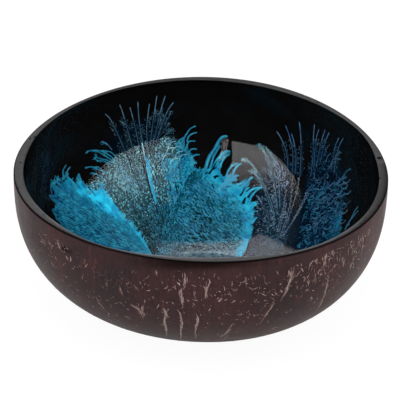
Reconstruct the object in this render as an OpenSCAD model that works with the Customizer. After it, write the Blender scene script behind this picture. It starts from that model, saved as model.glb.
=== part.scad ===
// Half of a coconut shell made into a bowl. The shell is sawn through, sanded
// outside and flat underneath, lacquered black inside, painted there with blown
// blue fans and sealed with a clear coat. Every coat is a layer of its own that
// lies face to face on the one below it. The origin is the middle of the seat.

/* [Shell] */
// Greatest outer diameter, at the belly just below the rim
belly_d = 135; // [115:1:155]
// Height of the shell from its sanded seat to its sawn rim
shell_h = 56.2; // [46:0.2:66]
// How far the belly lies below the sawn rim
belly_drop = 7.2; // [3:0.1:12]
// Diameter of the flat that is sanded on the underside
seat_d = 48; // [36:1:60]
// Fullness of the profile: 2 is an ellipse, more is squarer
fullness = 2.35; // [2:0.05:2.8]
// Thickness of the bare shell
shell_wall = 2.1; // [1.8:0.1:4]

/* [Lobes] */
// How far each of the three seed-case lobes swells past a true circle
lobe_rise = 1.3; // [0:0.1:3]
// Direction of the first lobe, counted from +X
lobe_turn = 82.6; // [0:0.1:119.9]

/* [Coats] */
// Thickness of the satin coat that seals the sawn rim
rim_coat_t = 0.3; // [0.1:0.05:0.6]
// Width of the eased edges of the rim coat
rim_ease = 0.2; // [0.05:0.05:0.5]
// Thickness of the polished finish on the outside
outer_finish_t = 0.15; // [0.1:0.05:0.4]
// Height of the bare band between the outer finish and the seat
bare_band = 0.6; // [0.3:0.1:2]
// Thickness of the black lacquer inside
base_lacquer_t = 0.2; // [0.1:0.05:0.6]
// Thickness of a blown paint fan where it is full
paint_t = 0.15; // [0.05:0.05:0.3]
// Thickness of the clear coat over the black lacquer
clear_coat_t = 0.35; // [0.3:0.05:0.8]

/* [Paint fans] */
// Left fan: its start and end as shares of a full turn, then of the way down
left_fan_shares = [0.367, 0.467, 0.17, 0.75];
// Back left fan, in the same shares
back_left_fan_shares = [0.283, 0.350, 0.08, 0.67];
// Middle fan
middle_fan_shares = [0.183, 0.267, 0.25, 0.83];
// Fine plume to the right of the middle
plume_shares = [0.117, 0.167, 0.08, 0.67];
// Right fan
right_fan_shares = [0.017, 0.100, 0.08, 0.50];
// Front right fan
front_right_fan_shares = [0.783, 0.900, 0.17, 0.67];
// Front left fan
front_left_fan_shares = [0.567, 0.700, 0.17, 0.75];

/* [Hidden] */

// A coconut's shell grows from three carpels
lobes = 3;
// Facets around, and steps from the rim to the seat and to the lowest point inside
columns = 60;
outer_steps = 11;
inner_steps = 12;

belly_r = belly_d / 2;
belly_z = shell_h - belly_drop;
// Depth below the belly that the outer curve would have without the sanded seat
under_h = belly_z / pow(1 - pow(seat_d / belly_d, fullness), 1 / fullness);
paint_inset = shell_wall + base_lacquer_t;
inside_inset = paint_inset + clear_coat_t;
fans = [left_fan_shares, back_left_fan_shares, middle_fan_shares, plume_shares,
    right_fan_shares, front_right_fan_shares, front_left_fan_shares];

// Surfaces are named by their inset from the bare outside of the shell. An inner
// surface keeps its inset on the wall and over the flat seat, an outer one follows
// the curve that the seat cuts off.
function curve_depth(inset) = inset > 0 ? belly_z - inset : under_h - inset;
function curve_r(inset, z) = (belly_r - inset)
    * pow(max(0, 1 - pow(abs(belly_z - z) / curve_depth(inset), fullness)), 1 / fullness);
function swell(angle) = 1 + lobe_rise / belly_r * cos(lobes * (angle - lobe_turn));
function around(r, z, column) =
    let (angle = 360 * column / columns)
    [r * swell(angle) * cos(angle), r * swell(angle) * sin(angle), z];

// Steps down a curve are even in the curve's own angle: 0 at the belly, 90 below it
function curve_angle(inset, z) = sign(belly_z - z)
    * asin(pow(min(1, abs(belly_z - z) / curve_depth(inset)), fullness / 2));
function curve_z(inset, angle) = belly_z
    - sign(angle) * curve_depth(inset) * pow(abs(sin(angle)), 2 / fullness);
function step_z(inset, end_z, share) = share == 0 ? shell_h : share == 1 ? end_z
    : let (first = curve_angle(inset, shell_h), last = curve_angle(inset, end_z))
    curve_z(inset, first + share * (last - first));

// Heights of the outer rings, the same for the bare shell and for its finish
outer_zs = [for (k = [0:outer_steps]) step_z(0, bare_band, k / outer_steps)];
function ring(inset, z) = [for (c = [0:columns - 1]) around(curve_r(inset, z), z, c)];
function inner_point(inset, k, column) =
    let (z = step_z(inset, belly_z - curve_depth(inset), k / inner_steps))
    around(k == inner_steps ? 0 : curve_r(inset, z), z, column);

// Facets of a band between two rings that start at points a and b
function band(a, b) = [for (c = [0:columns - 1]) let (d = (c + 1) % columns)
    each [[a + c, b + d, a + d], [a + c, b + c, b + d]]];
// Facets of a cone from the ring that starts at point a to the point tip
function tip_fan(a, tip) = [for (c = [0:columns - 1]) [a + c, tip, a + (c + 1) % columns]];
function turned_over(faces) = [for (f = faces) [f[2], f[1], f[0]]];

// Place of a fan on the grid of the inside: first and last column, then ring
function fan_grid(shares) = [round(shares[0] * columns), round(shares[1] * columns),
    round(shares[2] * inner_steps), round(shares[3] * inner_steps)];
function inside_fan(shares, k, column) = let (g = fan_grid(shares))
    column > g[0] && column < g[1] && k > g[2] && k < g[3];
function painted(k, column) = len([for (f = fans) if (inside_fan(f, k, column)) 1]) > 0;

// Rings of the inside, where a painted point may stand higher than the rest
function inner_rings(inset, paint) = [for (k = [0:inner_steps - 1], c = [0:columns - 1])
    inner_point(inset + (painted(k, c) ? paint : 0), k, c)];
function inner_end(inset) = [inner_point(inset, inner_steps, 0)];
function inner_faces(start) = concat(
    [for (k = [0:inner_steps - 2]) each band(start + k * columns, start + (k + 1) * columns)],
    tip_fan(start + (inner_steps - 1) * columns, start + inner_steps * columns));

module coconut_shell() {
    outside = concat([for (z = outer_zs) each ring(0, z)], ring(0, 0), [[0, 0, 0]]);
    rings = outer_steps + 1;
    inside = len(outside);
    color([0.25, 0.15, 0.12])
    polyhedron(
        points = concat(outside, inner_rings(shell_wall, 0), inner_end(shell_wall)),
        faces = concat(
            [for (k = [0:rings - 1]) each turned_over(band(k * columns, (k + 1) * columns))],
            turned_over(tip_fan(rings * columns, (rings + 1) * columns)),
            band(0, inside),
            inner_faces(inside)));
}

module rim_lacquer() {
    outer_r = curve_r(-outer_finish_t, shell_h);
    inner_r = curve_r(inside_inset, shell_h);
    top = shell_h + rim_coat_t;
    shoulder = shell_h + rim_coat_t / 2;
    section = [[inner_r, shell_h], [outer_r, shell_h], [outer_r, shoulder],
        [outer_r - rim_ease, top], [inner_r + rim_ease, top], [inner_r, shoulder]];
    last = len(section) - 1;
    color([0.30, 0.30, 0.31])
    polyhedron(
        points = [for (p = section, c = [0:columns - 1]) around(p[0], p[1], c)],
        faces = [for (k = [0:last])
            each band(k * columns, (k == last ? 0 : k + 1) * columns)]);
}

module outer_finish() {
    inside = (outer_steps + 1) * columns;
    color([0.33, 0.20, 0.17])
    polyhedron(
        points = concat([for (z = outer_zs) each ring(-outer_finish_t, z)],
            [for (z = outer_zs) each ring(0, z)]),
        faces = concat(
            [for (k = [0:outer_steps - 1]) each concat(
                turned_over(band(k * columns, (k + 1) * columns)),
                band(inside + k * columns, inside + (k + 1) * columns))],
            band(0, inside),
            turned_over(band(outer_steps * columns, inside + outer_steps * columns))));
}

// A coat inside the bowl, from the surface at its back to the one at its front
module inner_coat(back_inset, front_inset, paint) {
    front = inner_steps * columns + 1;
    polyhedron(
        points = concat(inner_rings(back_inset, paint), inner_end(back_inset),
            inner_rings(front_inset, 0), inner_end(front_inset)),
        faces = concat(turned_over(inner_faces(0)), band(0, front), inner_faces(front)));
}

module base_lacquer() {
    color([0.02, 0.02, 0.03])
    inner_coat(shell_wall, paint_inset, 0);
}

module clear_coat() {
    color([0.75, 0.80, 0.85, 0.3])
    inner_coat(paint_inset, inside_inset, paint_t);
}

// A blown film that feathers out to nothing at its edges
module fan(shares) {
    g = fan_grid(shares);
    across = g[1] - g[0] + 1;
    down = g[3] - g[2] + 1;
    raised = across * down;
    cells = [for (k = [0:down - 2], c = [0:across - 2])
        each [[[k, c], [k + 1, c + 1], [k, c + 1]], [[k, c], [k + 1, c], [k + 1, c + 1]]]];
    full = [for (t = cells) if (len([for (p = t) if (is_full(p)) 1]) > 0) t];
    function is_full(p) = p[0] > 0 && p[0] < down - 1 && p[1] > 0 && p[1] < across - 1;
    function low(p) = p[0] * across + p[1];
    function high(p) = is_full(p) ? raised + low(p) : low(p);
    polyhedron(
        points = [for (rise = [0, paint_t], k = [g[2]:g[3]], c = [g[0]:g[1]])
            inner_point(paint_inset + rise, k, c)],
        faces = [for (t = full) each [[for (p = t) high(p)],
            [low(t[2]), low(t[1]), low(t[0])]]]);
}

module left_fan() { color([0.10, 0.38, 0.75]) fan(left_fan_shares); }
module back_left_fan() { color([0.30, 0.50, 0.62]) fan(back_left_fan_shares); }
module middle_fan() { color([0.15, 0.50, 0.72]) fan(middle_fan_shares); }
module plume() { color([0.18, 0.42, 0.62]) fan(plume_shares); }
module right_fan() { color([0.08, 0.22, 0.60]) fan(right_fan_shares); }
module front_right_fan() { color([0.10, 0.34, 0.68]) fan(front_right_fan_shares); }
module front_left_fan() { color([0.14, 0.44, 0.72]) fan(front_left_fan_shares); }

coconut_shell();
rim_lacquer();
outer_finish();
base_lacquer();
clear_coat();
left_fan();
back_left_fan();
middle_fan();
plume();
right_fan();
front_right_fan();
front_left_fan();
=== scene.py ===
# Looks of the coconut shell bowl: a polished dark shell with pale husk fibres, a satin
# rim, and a black lacquered inside with blown blue paint under a clear coat.
# Lengths in the formulas are millimetres; meshes are made in metres.
import math

import bpy
import numpy as np
from mathutils import Matrix, Vector


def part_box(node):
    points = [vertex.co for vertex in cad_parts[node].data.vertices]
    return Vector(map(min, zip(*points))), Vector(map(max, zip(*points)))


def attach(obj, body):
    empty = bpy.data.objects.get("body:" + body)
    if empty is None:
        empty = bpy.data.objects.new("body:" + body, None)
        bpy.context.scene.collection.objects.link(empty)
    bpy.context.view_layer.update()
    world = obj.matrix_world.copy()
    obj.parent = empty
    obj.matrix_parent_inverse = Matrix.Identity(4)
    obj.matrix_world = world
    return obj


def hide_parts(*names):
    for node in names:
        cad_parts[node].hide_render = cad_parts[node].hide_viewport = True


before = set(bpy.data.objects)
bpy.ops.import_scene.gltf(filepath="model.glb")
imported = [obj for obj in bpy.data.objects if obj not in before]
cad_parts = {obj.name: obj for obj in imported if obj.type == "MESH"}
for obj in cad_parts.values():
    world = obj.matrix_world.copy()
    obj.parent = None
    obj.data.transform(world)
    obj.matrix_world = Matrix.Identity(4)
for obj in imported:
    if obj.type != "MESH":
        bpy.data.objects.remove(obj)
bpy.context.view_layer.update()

MM = 0.001

# Sizes of the shell, the same as its construction's
shell_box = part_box("coconut_shell")
SHELL_H = shell_box[1][2] / MM
RIM_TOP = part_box("rim_lacquer")[1][2] / MM
BELLY_R = 67.5
BELLY_DROP = 7.2
SEAT_R = 24.0
FULLNESS = 2.35
LOBES = 3
LOBE_RISE = 1.3
LOBE_TURN = math.radians(82.6)
SHELL_WALL = 2.1
OUTER_FINISH = 0.15
BASE_LACQUER = 0.2
CLEAR_COAT = 0.35
PAINT_INSET = SHELL_WALL + BASE_LACQUER
INSIDE_INSET = PAINT_INSET + CLEAR_COAT
BARE_BAND = 0.6
BELLY_Z = SHELL_H - BELLY_DROP
UNDER_H = BELLY_Z / (1 - (SEAT_R / BELLY_R) ** FULLNESS) ** (1 / FULLNESS)
TURN = 2 * math.pi
# Width of the rim's land every 20 degrees from +X, where the wall is cut thick or thin
RIM_WIDTHS = np.array([3.2, 1.9, 2.4, 3.2, 3.3, 2.9, 2.2, 1.8, 2.4,
                       3.4, 3.2, 2.5, 1.0, 2.2, 3.0, 1.4, 2.1, 3.0])
# How far down the wall's inside follows the uneven rim
FLARE_DEPTH = 12.0
# Step over which a slope is measured, and the least length that a direction is divided by
SLOPE_STEP = 0.01
TINY = 1e-12

# Camera, fitted to the photographed rim: seen from the front and above
PHOTO_SIZE = 400
CAM_DISTANCE = 7 * BELLY_R
CAM_ELEVATION = math.radians(29.76)
CAM_PITCH = math.radians(1.789)
CAM_YAW = math.radians(-0.070)
CAM_ROLL = math.radians(1.14)
CAM_FOCUS_PX = 1294.8
SENSOR_MM = 36.0
CLIP_START = 0.01
# Share of the camera's distance at which the search for the outside starts, and its halvings
NEAR_SHARE = 0.6
HALVINGS = 40


# Surface formulas

def swell(theta):
    """How far the three lobes swell or draw in the shell in a direction."""
    return 1 + LOBE_RISE / BELLY_R * np.cos(LOBES * (theta - LOBE_TURN))


def curve_depth(inset):
    return BELLY_Z - inset if inset > 0 else UNDER_H - inset


def curve_angle(inset, z):
    """Angle down the profile: 0 at the belly, a quarter turn at the lowest point."""
    below = (BELLY_Z - z) / curve_depth(inset)
    return np.sign(below) * np.arcsin(np.minimum(1, np.abs(below)) ** (FULLNESS / 2))


def spline(a, b, c, d, t):
    """Smooth curve from b to c, with a before it and d after it."""
    return 0.5 * (2 * b + (c - a) * t + (2 * a - 5 * b + 4 * c - d) * t ** 2
                  + (3 * b - a - 3 * c + d) * t ** 3)


def unit(vectors):
    return vectors / np.maximum(np.linalg.norm(vectors, axis=-1, keepdims=True), TINY)


def flare(theta, z):
    """How far the inside stands back from its plain curve near the unevenly thick rim."""
    at = theta % TURN / TURN * len(RIM_WIDTHS)
    cell = at.astype(int)
    wide = spline(*(RIM_WIDTHS[(cell + k) % len(RIM_WIDTHS)] for k in (-1, 0, 1, 2)), at - cell)
    rise = np.clip((z - SHELL_H) / FLARE_DEPTH + 1, 0, 1)
    return (OUTER_FINISH + INSIDE_INSET - wide) * rise * rise * (3 - 2 * rise)


def surface(inset, theta, angle):
    """Points of the surface that lies inset inside the bare shell's outside."""
    theta, angle = np.broadcast_arrays(np.asarray(theta, float), np.asarray(angle, float))
    r = (BELLY_R - inset) * np.clip(np.cos(angle), 0, 1) ** (2 / FULLNESS) * swell(theta)
    drop = np.sign(angle) * np.abs(np.sin(angle)) ** (2 / FULLNESS) * curve_depth(inset)
    if inset > 0:
        r = r + flare(theta, BELLY_Z - drop)
    return np.stack([r * np.cos(theta), r * np.sin(theta), BELLY_Z - drop], -1)


def outside_of(points, inset):
    """Below zero inside the surface with this inset, above zero outside it."""
    theta = np.arctan2(points[..., 1], points[..., 0])
    r = np.hypot(points[..., 0], points[..., 1])
    if inset > 0:
        r = r - flare(theta, points[..., 2])
    r = r / swell(theta)
    drop = np.abs(BELLY_Z - points[..., 2])
    return (r / (BELLY_R - inset)) ** FULLNESS + (drop / curve_depth(inset)) ** FULLNESS - 1


def normals_at(points, inset):
    """Unit normals of the surface, pointing out of the bowl's wall."""
    return unit(np.stack([outside_of(points + nudge, inset) - outside_of(points - nudge, inset)
                          for nudge in SLOPE_STEP * np.eye(3)], -1))


# Camera rays

def camera_frame():
    """The camera's place, and its right, up and forward directions."""
    place = np.array([0, -CAM_DISTANCE * math.cos(CAM_ELEVATION),
                      RIM_TOP + CAM_DISTANCE * math.sin(CAM_ELEVATION)])
    forward = np.array([0, math.cos(CAM_ELEVATION), -math.sin(CAM_ELEVATION)])
    right = np.array([1.0, 0, 0])
    up = np.cross(right, forward)
    pitched = forward * math.cos(CAM_PITCH) - up * math.sin(CAM_PITCH)
    up = up * math.cos(CAM_PITCH) + forward * math.sin(CAM_PITCH)
    forward = pitched * math.cos(CAM_YAW) + right * math.sin(CAM_YAW)
    right = right * math.cos(CAM_YAW) - pitched * math.sin(CAM_YAW)
    rolled_right = right * math.cos(CAM_ROLL) + up * math.sin(CAM_ROLL)
    rolled_up = up * math.cos(CAM_ROLL) - right * math.sin(CAM_ROLL)
    return place, rolled_right, rolled_up, forward


def rays(pixels):
    """Start and directions of the camera's rays through pixels of the photograph."""
    place, right, up, forward = camera_frame()
    px = np.asarray(pixels, float) - PHOTO_SIZE / 2
    way = (forward + right * (px[..., :1] / CAM_FOCUS_PX)
           - up * (px[..., 1:] / CAM_FOCUS_PX))
    return place, way / np.linalg.norm(way, axis=-1, keepdims=True)


def place_of(points, inset):
    """Direction and profile angle of points on the surface with this inset."""
    return np.arctan2(points[..., 1], points[..., 0]), curve_angle(inset, points[..., 2])


def seen_place(pixels, inset):
    """Direction and profile angle of the wall at pixels: its far inside, or its near outside."""
    place, way = rays(pixels)
    nearest = -np.sum(way[..., :2] * place[:2], -1) / np.sum(way[..., :2] ** 2, -1)
    near, far = nearest, -place[2] / way[..., 2]
    if inset < 0:
        near, far = np.full(nearest.shape, NEAR_SHARE * CAM_DISTANCE), nearest
    for _ in range(HALVINGS):
        middle = (near + far) / 2
        out = outside_of(place + way * middle[..., None], inset) > 0
        beyond = out if inset > 0 else ~out
        far = np.where(beyond, middle, far)
        near = np.where(beyond, near, middle)
    return place_of(place + way * ((near + far) / 2)[..., None], inset)


# Mesh helpers

# Kind and field of the marks that aren't plain numbers
MARK_KINDS = {"bright": ("FLOAT_COLOR", "color"), "flow": ("FLOAT_VECTOR", "vector")}


def make_piece(name, points, faces, material, slot, node, **marks):
    """A mesh object from points in millimetres, riding on the bowl for a node."""
    mesh = bpy.data.meshes.new(name)
    mesh.from_pydata([tuple(p) for p in np.asarray(points) * MM], [], faces)
    mesh.validate()
    for key, values in marks.items():
        kind, field = MARK_KINDS.get(key, ("FLOAT", "value"))
        layer = mesh.attributes.new(key, kind, "POINT")
        layer.data.foreach_set(field, np.asarray(values, np.float32).ravel())
    mesh.polygons.foreach_set("use_smooth", [True] * len(mesh.polygons))
    mesh.materials.append(material)
    mesh.update()
    obj = bpy.data.objects.new(name, mesh)
    bpy.context.scene.collection.objects.link(obj)
    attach(obj, "root")
    if node:
        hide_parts(node)


def band_faces(columns, first, second, flip=False):
    """Quads between two closed rings of points."""
    quads = []
    for c in range(columns):
        d = (c + 1) % columns
        quad = (first + c, second + c, second + d, first + d)
        quads.append(quad[::-1] if flip else quad)
    return quads


def closed_rings(rings, loop=False, flip=False):
    """Points and quads of a skin through closed rings, capped at a lone end point."""
    columns = len(rings[0])
    faces = []
    for k in range(len(rings) - (0 if loop else 1)):
        start, following = k * columns, (k + 1) % len(rings)
        if len(rings[following]) == 1:
            tip = following * columns
            faces += [(start + c, tip, start + (c + 1) % columns)[::-1 if flip else 1]
                      for c in range(columns)]
        else:
            faces += band_faces(columns, start, following * columns, flip)
    return np.concatenate(rings), faces


def two_skins(first, second, columns, flip):
    """One closed solid from two skins that are joined along their first rings."""
    base = len(first[0])
    faces = first[1] + [tuple(i + base for i in f) for f in second[1]]
    return np.concatenate([first[0], second[0]]), faces + band_faces(columns, 0, base, flip)


def waves(theta, z, seed, scale):
    """Smooth seeded unevenness over the shell, between about -1 and 1."""
    draw = np.random.default_rng(seed)
    total = np.zeros(np.broadcast(theta, z).shape)
    for _ in range(9):
        turns = draw.integers(1, 9)
        total = total + np.cos(turns * theta + draw.uniform(-1, 1) * z / scale
                               + draw.uniform(0, TURN)) / 4
    return total


def ease(low, high, x):
    """A smooth step from 0 to 1 as x goes from low to high."""
    t = np.clip((x - low) / (high - low), 0, 1)
    return t * t * (3 - 2 * t)


def ridge(middle, width, x):
    return np.exp(-((x - middle) / width) ** 2)


# Materials

def plug(tree, socket, value):
    """A value set on a socket, or another node's output linked to it."""
    if isinstance(value, bpy.types.NodeSocket):
        tree.links.new(value, socket)
    else:
        socket.default_value = value


def add(tree, kind, **inputs):
    """A node of a kind, with properties and inputs given by name."""
    node = tree.nodes.new(kind)
    for key, value in inputs.items():
        if hasattr(node, key):
            setattr(node, key, value)
        else:
            plug(tree, node.inputs[key.replace("_", " ")], value)
    return node


def new_material(name):
    mat = bpy.data.materials.new(name)
    mat.use_nodes = True
    return mat, mat.node_tree


def shade(tree, **inputs):
    """The inputs of a material's shader, given by name."""
    shader = tree.nodes["Principled BSDF"]
    for key, value in inputs.items():
        plug(tree, shader.inputs[key.replace("_", " ")], value)


def mark(tree, name):
    """A mark that the mesh's points carry."""
    return add(tree, "ShaderNodeAttribute", attribute_name=name).outputs


def ramp(tree, source, *stops):
    """A colour or grey ramp over a value, from (position, colour) stops."""
    node = add(tree, "ShaderNodeValToRGB", Fac=source)
    cells = node.color_ramp.elements
    while len(cells) < len(stops):
        cells.new(0.5)
    for cell, (at, colour) in zip(cells, stops):
        cell.position = at
        cell.color = (*np.broadcast_to(colour, 3), 1)
    return node.outputs["Color"]


def stretched(tree, *scale):
    """Object coordinates scaled unequally, for grain."""
    where = add(tree, "ShaderNodeTexCoord").outputs["Object"]
    return add(tree, "ShaderNodeMapping", Scale=scale, Vector=where).outputs["Vector"]


def noise(tree, where, detail=3, rough=0.55, warp=0.0):
    return add(tree, "ShaderNodeTexNoise", Scale=1.0, Detail=detail, Roughness=rough,
               Distortion=warp, Vector=where).outputs["Fac"]


def math_node(tree, operation, a, b):
    node = add(tree, "ShaderNodeMath", operation=operation)
    plug(tree, node.inputs[0], a)
    plug(tree, node.inputs[1], b)
    return node.outputs["Value"]


def product(tree, *factors):
    """All the factors multiplied."""
    total = factors[0]
    for factor in factors[1:]:
        total = math_node(tree, "MULTIPLY", total, factor)
    return total


def rest(tree, share, whole=1.0):
    """What a share leaves of the whole."""
    return math_node(tree, "SUBTRACT", whole, share)


def mix_colour(tree, share, a, b, blend="MIX"):
    node = add(tree, "ShaderNodeMix", data_type="RGBA", blend_type=blend)
    plug(tree, node.inputs["Factor"], share)
    for socket, value in zip((s for s in node.inputs if s.type == "RGBA"), (a, b)):
        plug(tree, socket, value)
    return [s for s in node.outputs if s.type == "RGBA"][0]


def step(tree, value, low, high):
    """A smooth step from 0 to 1 as a value goes from low to high."""
    return add(tree, "ShaderNodeMapRange", interpolation_type="SMOOTHSTEP", From_Min=low,
               From_Max=high, Value=value).outputs["Result"]


def bump(tree, height, strength, distance):
    return add(tree, "ShaderNodeBump", Strength=strength, Distance=distance,
               Height=height).outputs["Normal"]


def mix_surface(tree, share, first, second):
    """A material's surface, mixed from two shaders."""
    node = add(tree, "ShaderNodeMixShader")
    for socket, value in zip(node.inputs, (share, first.outputs[0], second.outputs[0])):
        plug(tree, socket, value)
    tree.links.new(node.outputs[0], tree.nodes["Material Output"].inputs["Surface"])


def finish_material():
    """Polished dark shell: reddish and blackish brown clouds, red flecks and fine grain."""
    mat, tree = new_material("polished_shell")
    clouds = noise(tree, stretched(tree, 48, 48, 22), 4, 0.6, 0.4)
    grain = noise(tree, stretched(tree, 800, 800, 260), 3, 0.6)
    flecks = noise(tree, stretched(tree, 620, 620, 130), 2, 0.5, 0.8)
    base = ramp(tree, clouds, (0.28, (0.025, 0.016, 0.019)), (0.45, (0.037, 0.017, 0.019)),
                (0.6, (0.050, 0.020, 0.021)), (0.78, (0.029, 0.016, 0.018)))
    reddened = mix_colour(tree, ramp(tree, flecks, (0.60, 0), (0.74, 0.5)), base,
                          (0.12, 0.034, 0.030, 1))
    lines = ramp(tree, grain, (0.35, 0.62), (0.55, 1), (0.8, (1.35, 1.25, 1.2)))
    worn = mix_colour(tree, 0.7, reddened, lines, "MULTIPLY")
    # Darker and less glossy by the stain mark: a stain in one spot, painted shade below the rim and
    # low down
    stain = mark(tree, "stain")["Fac"]
    shade(tree, Base_Color=mix_colour(tree, stain, worn, (0.004, 0.0026, 0.002, 1)),
          Specular_IOR_Level=product(tree, rest(tree, stain), 0.12), IOR=1.5,
          Roughness=ramp(tree, noise(tree, stretched(tree, 120, 120, 60)), (0.3, 0.34),
                         (0.7, 0.46)),
          Normal=bump(tree, grain, 0.12, 0.0002))
    return mat


def fibre_material():
    """Pale husk fibres left in the shell, tan to pinkish, redder where they thin out."""
    mat, tree = new_material("husk_fibre")
    pale = ramp(tree, noise(tree, stretched(tree, 900, 900, 300)), (0.3, (0.26, 0.17, 0.15)),
                (0.55, (0.50, 0.38, 0.34)), (0.8, (0.70, 0.60, 0.55)))
    shade(tree, Base_Color=mix_colour(tree, mark(tree, "fade")["Fac"], pale,
                                      (0.10, 0.042, 0.036, 1)),
          Roughness=0.5, Specular_IOR_Level=0.14)
    return mat


def bare_shell_material():
    """Sanded bare shell under the seat."""
    mat, tree = new_material("sanded_shell")
    grain = noise(tree, stretched(tree, 300, 60, 300), 4, 0.6)
    shade(tree, Base_Color=ramp(tree, grain, (0.3, (0.085, 0.042, 0.028)),
                                (0.7, (0.19, 0.11, 0.075))),
          Roughness=0.75, Normal=bump(tree, grain, 0.2, 0.0002))
    return mat


def rim_material():
    """Satin grey-black lacquer, black along its outer edge and in its pores, pale in a painted
    highlight.
    """
    mat, tree = new_material("rim_lacquer")
    dark = mark(tree, "dark")["Fac"]
    fine = noise(tree, stretched(tree, 500, 500, 500))
    # The light mark is a painted highlight; the dark mark is black lacquer, pores and painted shade
    lit = mix_colour(tree, mark(tree, "light")["Fac"],
                     ramp(tree, fine, (0.3, 0.019), (0.7, 0.031)), (0.15, 0.175, 0.20, 1))
    shade(tree, Base_Color=mix_colour(tree, dark, lit, (0.003, 0.0025, 0.0025, 1)),
          Specular_IOR_Level=product(tree, rest(tree, dark), 0.34), Roughness=0.5, IOR=1.45,
          Normal=bump(tree, fine, 0.1, 0.0002))
    return mat


def black_material():
    """Deep gloss black with the faintest cloudiness; the clear coat mirrors for it."""
    mat, tree = new_material("black_lacquer")
    clouds = noise(tree, stretched(tree, 60, 60, 60))
    shade(tree, Base_Color=ramp(tree, clouds, (0.3, (0.0026, 0.0025, 0.0026)),
                                (0.75, (0.0044, 0.0042, 0.0044))),
          Roughness=0.5, Specular_IOR_Level=0.0)
    return mat


def paint_material():
    """Blown paint: streaks or dots of colour over a darker film, by the mesh's own marks."""
    mat, tree = new_material("blown_paint")
    bright, solid = mark(tree, "bright")["Color"], mark(tree, "solid")["Fac"]
    grain = mark(tree, "grain")["Fac"]
    streak = noise(tree, mark(tree, "flow")["Vector"], 2, 0.55, 1.1)
    run = step(tree, math_node(tree, "ADD", streak, product(tree, solid, 0.4)), 0.48, 0.56)
    cells = add(tree, "ShaderNodeTexVoronoi", Scale=1.0,
                Vector=stretched(tree, 1150, 1150, 1150)).outputs
    reach = math_node(tree, "ADD", product(tree, solid, 0.5), 0.40)
    dot = step(tree, rest(tree, cells["Distance"], reach), 0.0, 0.14)
    chance = add(tree, "ShaderNodeSeparateColor", Color=cells["Color"]).outputs["Red"]
    uneven = mix_colour(tree, grain, (1, 1, 1, 1), ramp(tree, chance, (0.0, 0.25), (1.0, 1.6)))
    clouds = ramp(tree, noise(tree, stretched(tree, 330, 330, 330)),
                  (0.38, (0.50, 0.62, 0.74)), (0.6, (1.12, 1.08, 1.05)))
    mottled = mix_colour(tree, 1.0, mix_colour(tree, 1.0, bright, uneven, "MULTIPLY"), clouds,
                         "MULTIPLY")
    thin = rest(tree, product(tree, grain, 0.12), 0.24)
    gap = mix_colour(tree, thin, (0.001, 0.002, 0.004, 1), bright)
    shade(tree, Base_Color=mix_colour(tree, mix_colour(tree, grain, run, dot), gap, mottled),
          Roughness=0.5, Specular_IOR_Level=0.0)
    return mat


COAT_SHARE = 0.3


def clear_material():
    """Clear gloss coat: a mirror film by Fresnel over what lies below it."""
    mat, tree = new_material("clear_coat")
    tree.nodes.remove(tree.nodes["Principled BSDF"])
    front = rest(tree, add(tree, "ShaderNodeNewGeometry").outputs["Backfacing"])
    fresnel = add(tree, "ShaderNodeFresnel", IOR=1.52).outputs["Fac"]
    ripple = bump(tree, noise(tree, stretched(tree, 70, 70, 70), 2), 0.04, 0.0006)
    mix_surface(tree, product(tree, fresnel, product(tree, front, COAT_SHARE)),
                add(tree, "ShaderNodeBsdfTransparent"),
                add(tree, "ShaderNodeBsdfGlossy", Roughness=0.012, Normal=ripple))
    return mat


# Shell, coats and rim

SHELL_COLUMNS = 240
SHELL_ROWS = 40
LINING_ROWS = 50
# Rounding of the seat's edge
SEAT_EASE = 0.25
SKIN_COLUMNS = 420
SKIN_ROWS = 112
# Depth of the skin's unevenness, and the mean of its waves that it is sunk by
DENT = 0.05
DENT_MEAN = 2.7
# Greenish dark patch seen at the left of the outside: its middle and how far it reaches
PATCH_PX = (65.0, 249.0)
PATCH_MM = (3.4, 1.2)
COAT_COLUMNS = 360
COAT_ROWS = 110
# Angle from a coat's top edge to its next ring, small to keep the edge's shading off the wall
EDGE_STEP = 0.0004
# Room behind the clear coat for the paint
PAINT_ROOM = 0.22


def ring_of(inset, angle, columns):
    return surface(inset, np.arange(columns) * TURN / columns, angle)


def pole_of(inset):
    return surface(inset, [0.0], [math.pi / 2])


def shell_piece():
    """The bare shell, with its flat seat eased at the edge."""
    outer = np.linspace(curve_angle(0, SHELL_H), curve_angle(0, BARE_BAND), SHELL_ROWS)
    rings = [ring_of(0, a, SHELL_COLUMNS) for a in (*outer, curve_angle(0, SEAT_EASE))]
    seat = ring_of(0, curve_angle(0, 0.0), SHELL_COLUMNS)
    seat_r = np.hypot(seat[:, 0], seat[:, 1])
    corner = 0.3 * SEAT_EASE
    for height, share in ((corner, 1 - corner / seat_r), (0, 1 - SEAT_EASE / seat_r),
                          (0, 0.8), (0, 0.6), (0, 0.4), (0, 0.2)):
        ring = seat * np.broadcast_to(share, seat_r.shape)[:, None]
        ring[:, 2] = height
        rings.append(ring)
    outside = closed_rings(rings + [np.zeros((1, 3))])
    steps = np.linspace(curve_angle(SHELL_WALL, SHELL_H), math.pi / 2, LINING_ROWS)[:-1]
    inner = [ring_of(SHELL_WALL, a, SHELL_COLUMNS) for a in steps]
    inside = closed_rings(inner + [pole_of(SHELL_WALL)], flip=True)
    make_piece("shell_body", *two_skins(outside, inside, SHELL_COLUMNS, True),
               bare_shell_material(), "coconut_shell", "coconut_shell")


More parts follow.
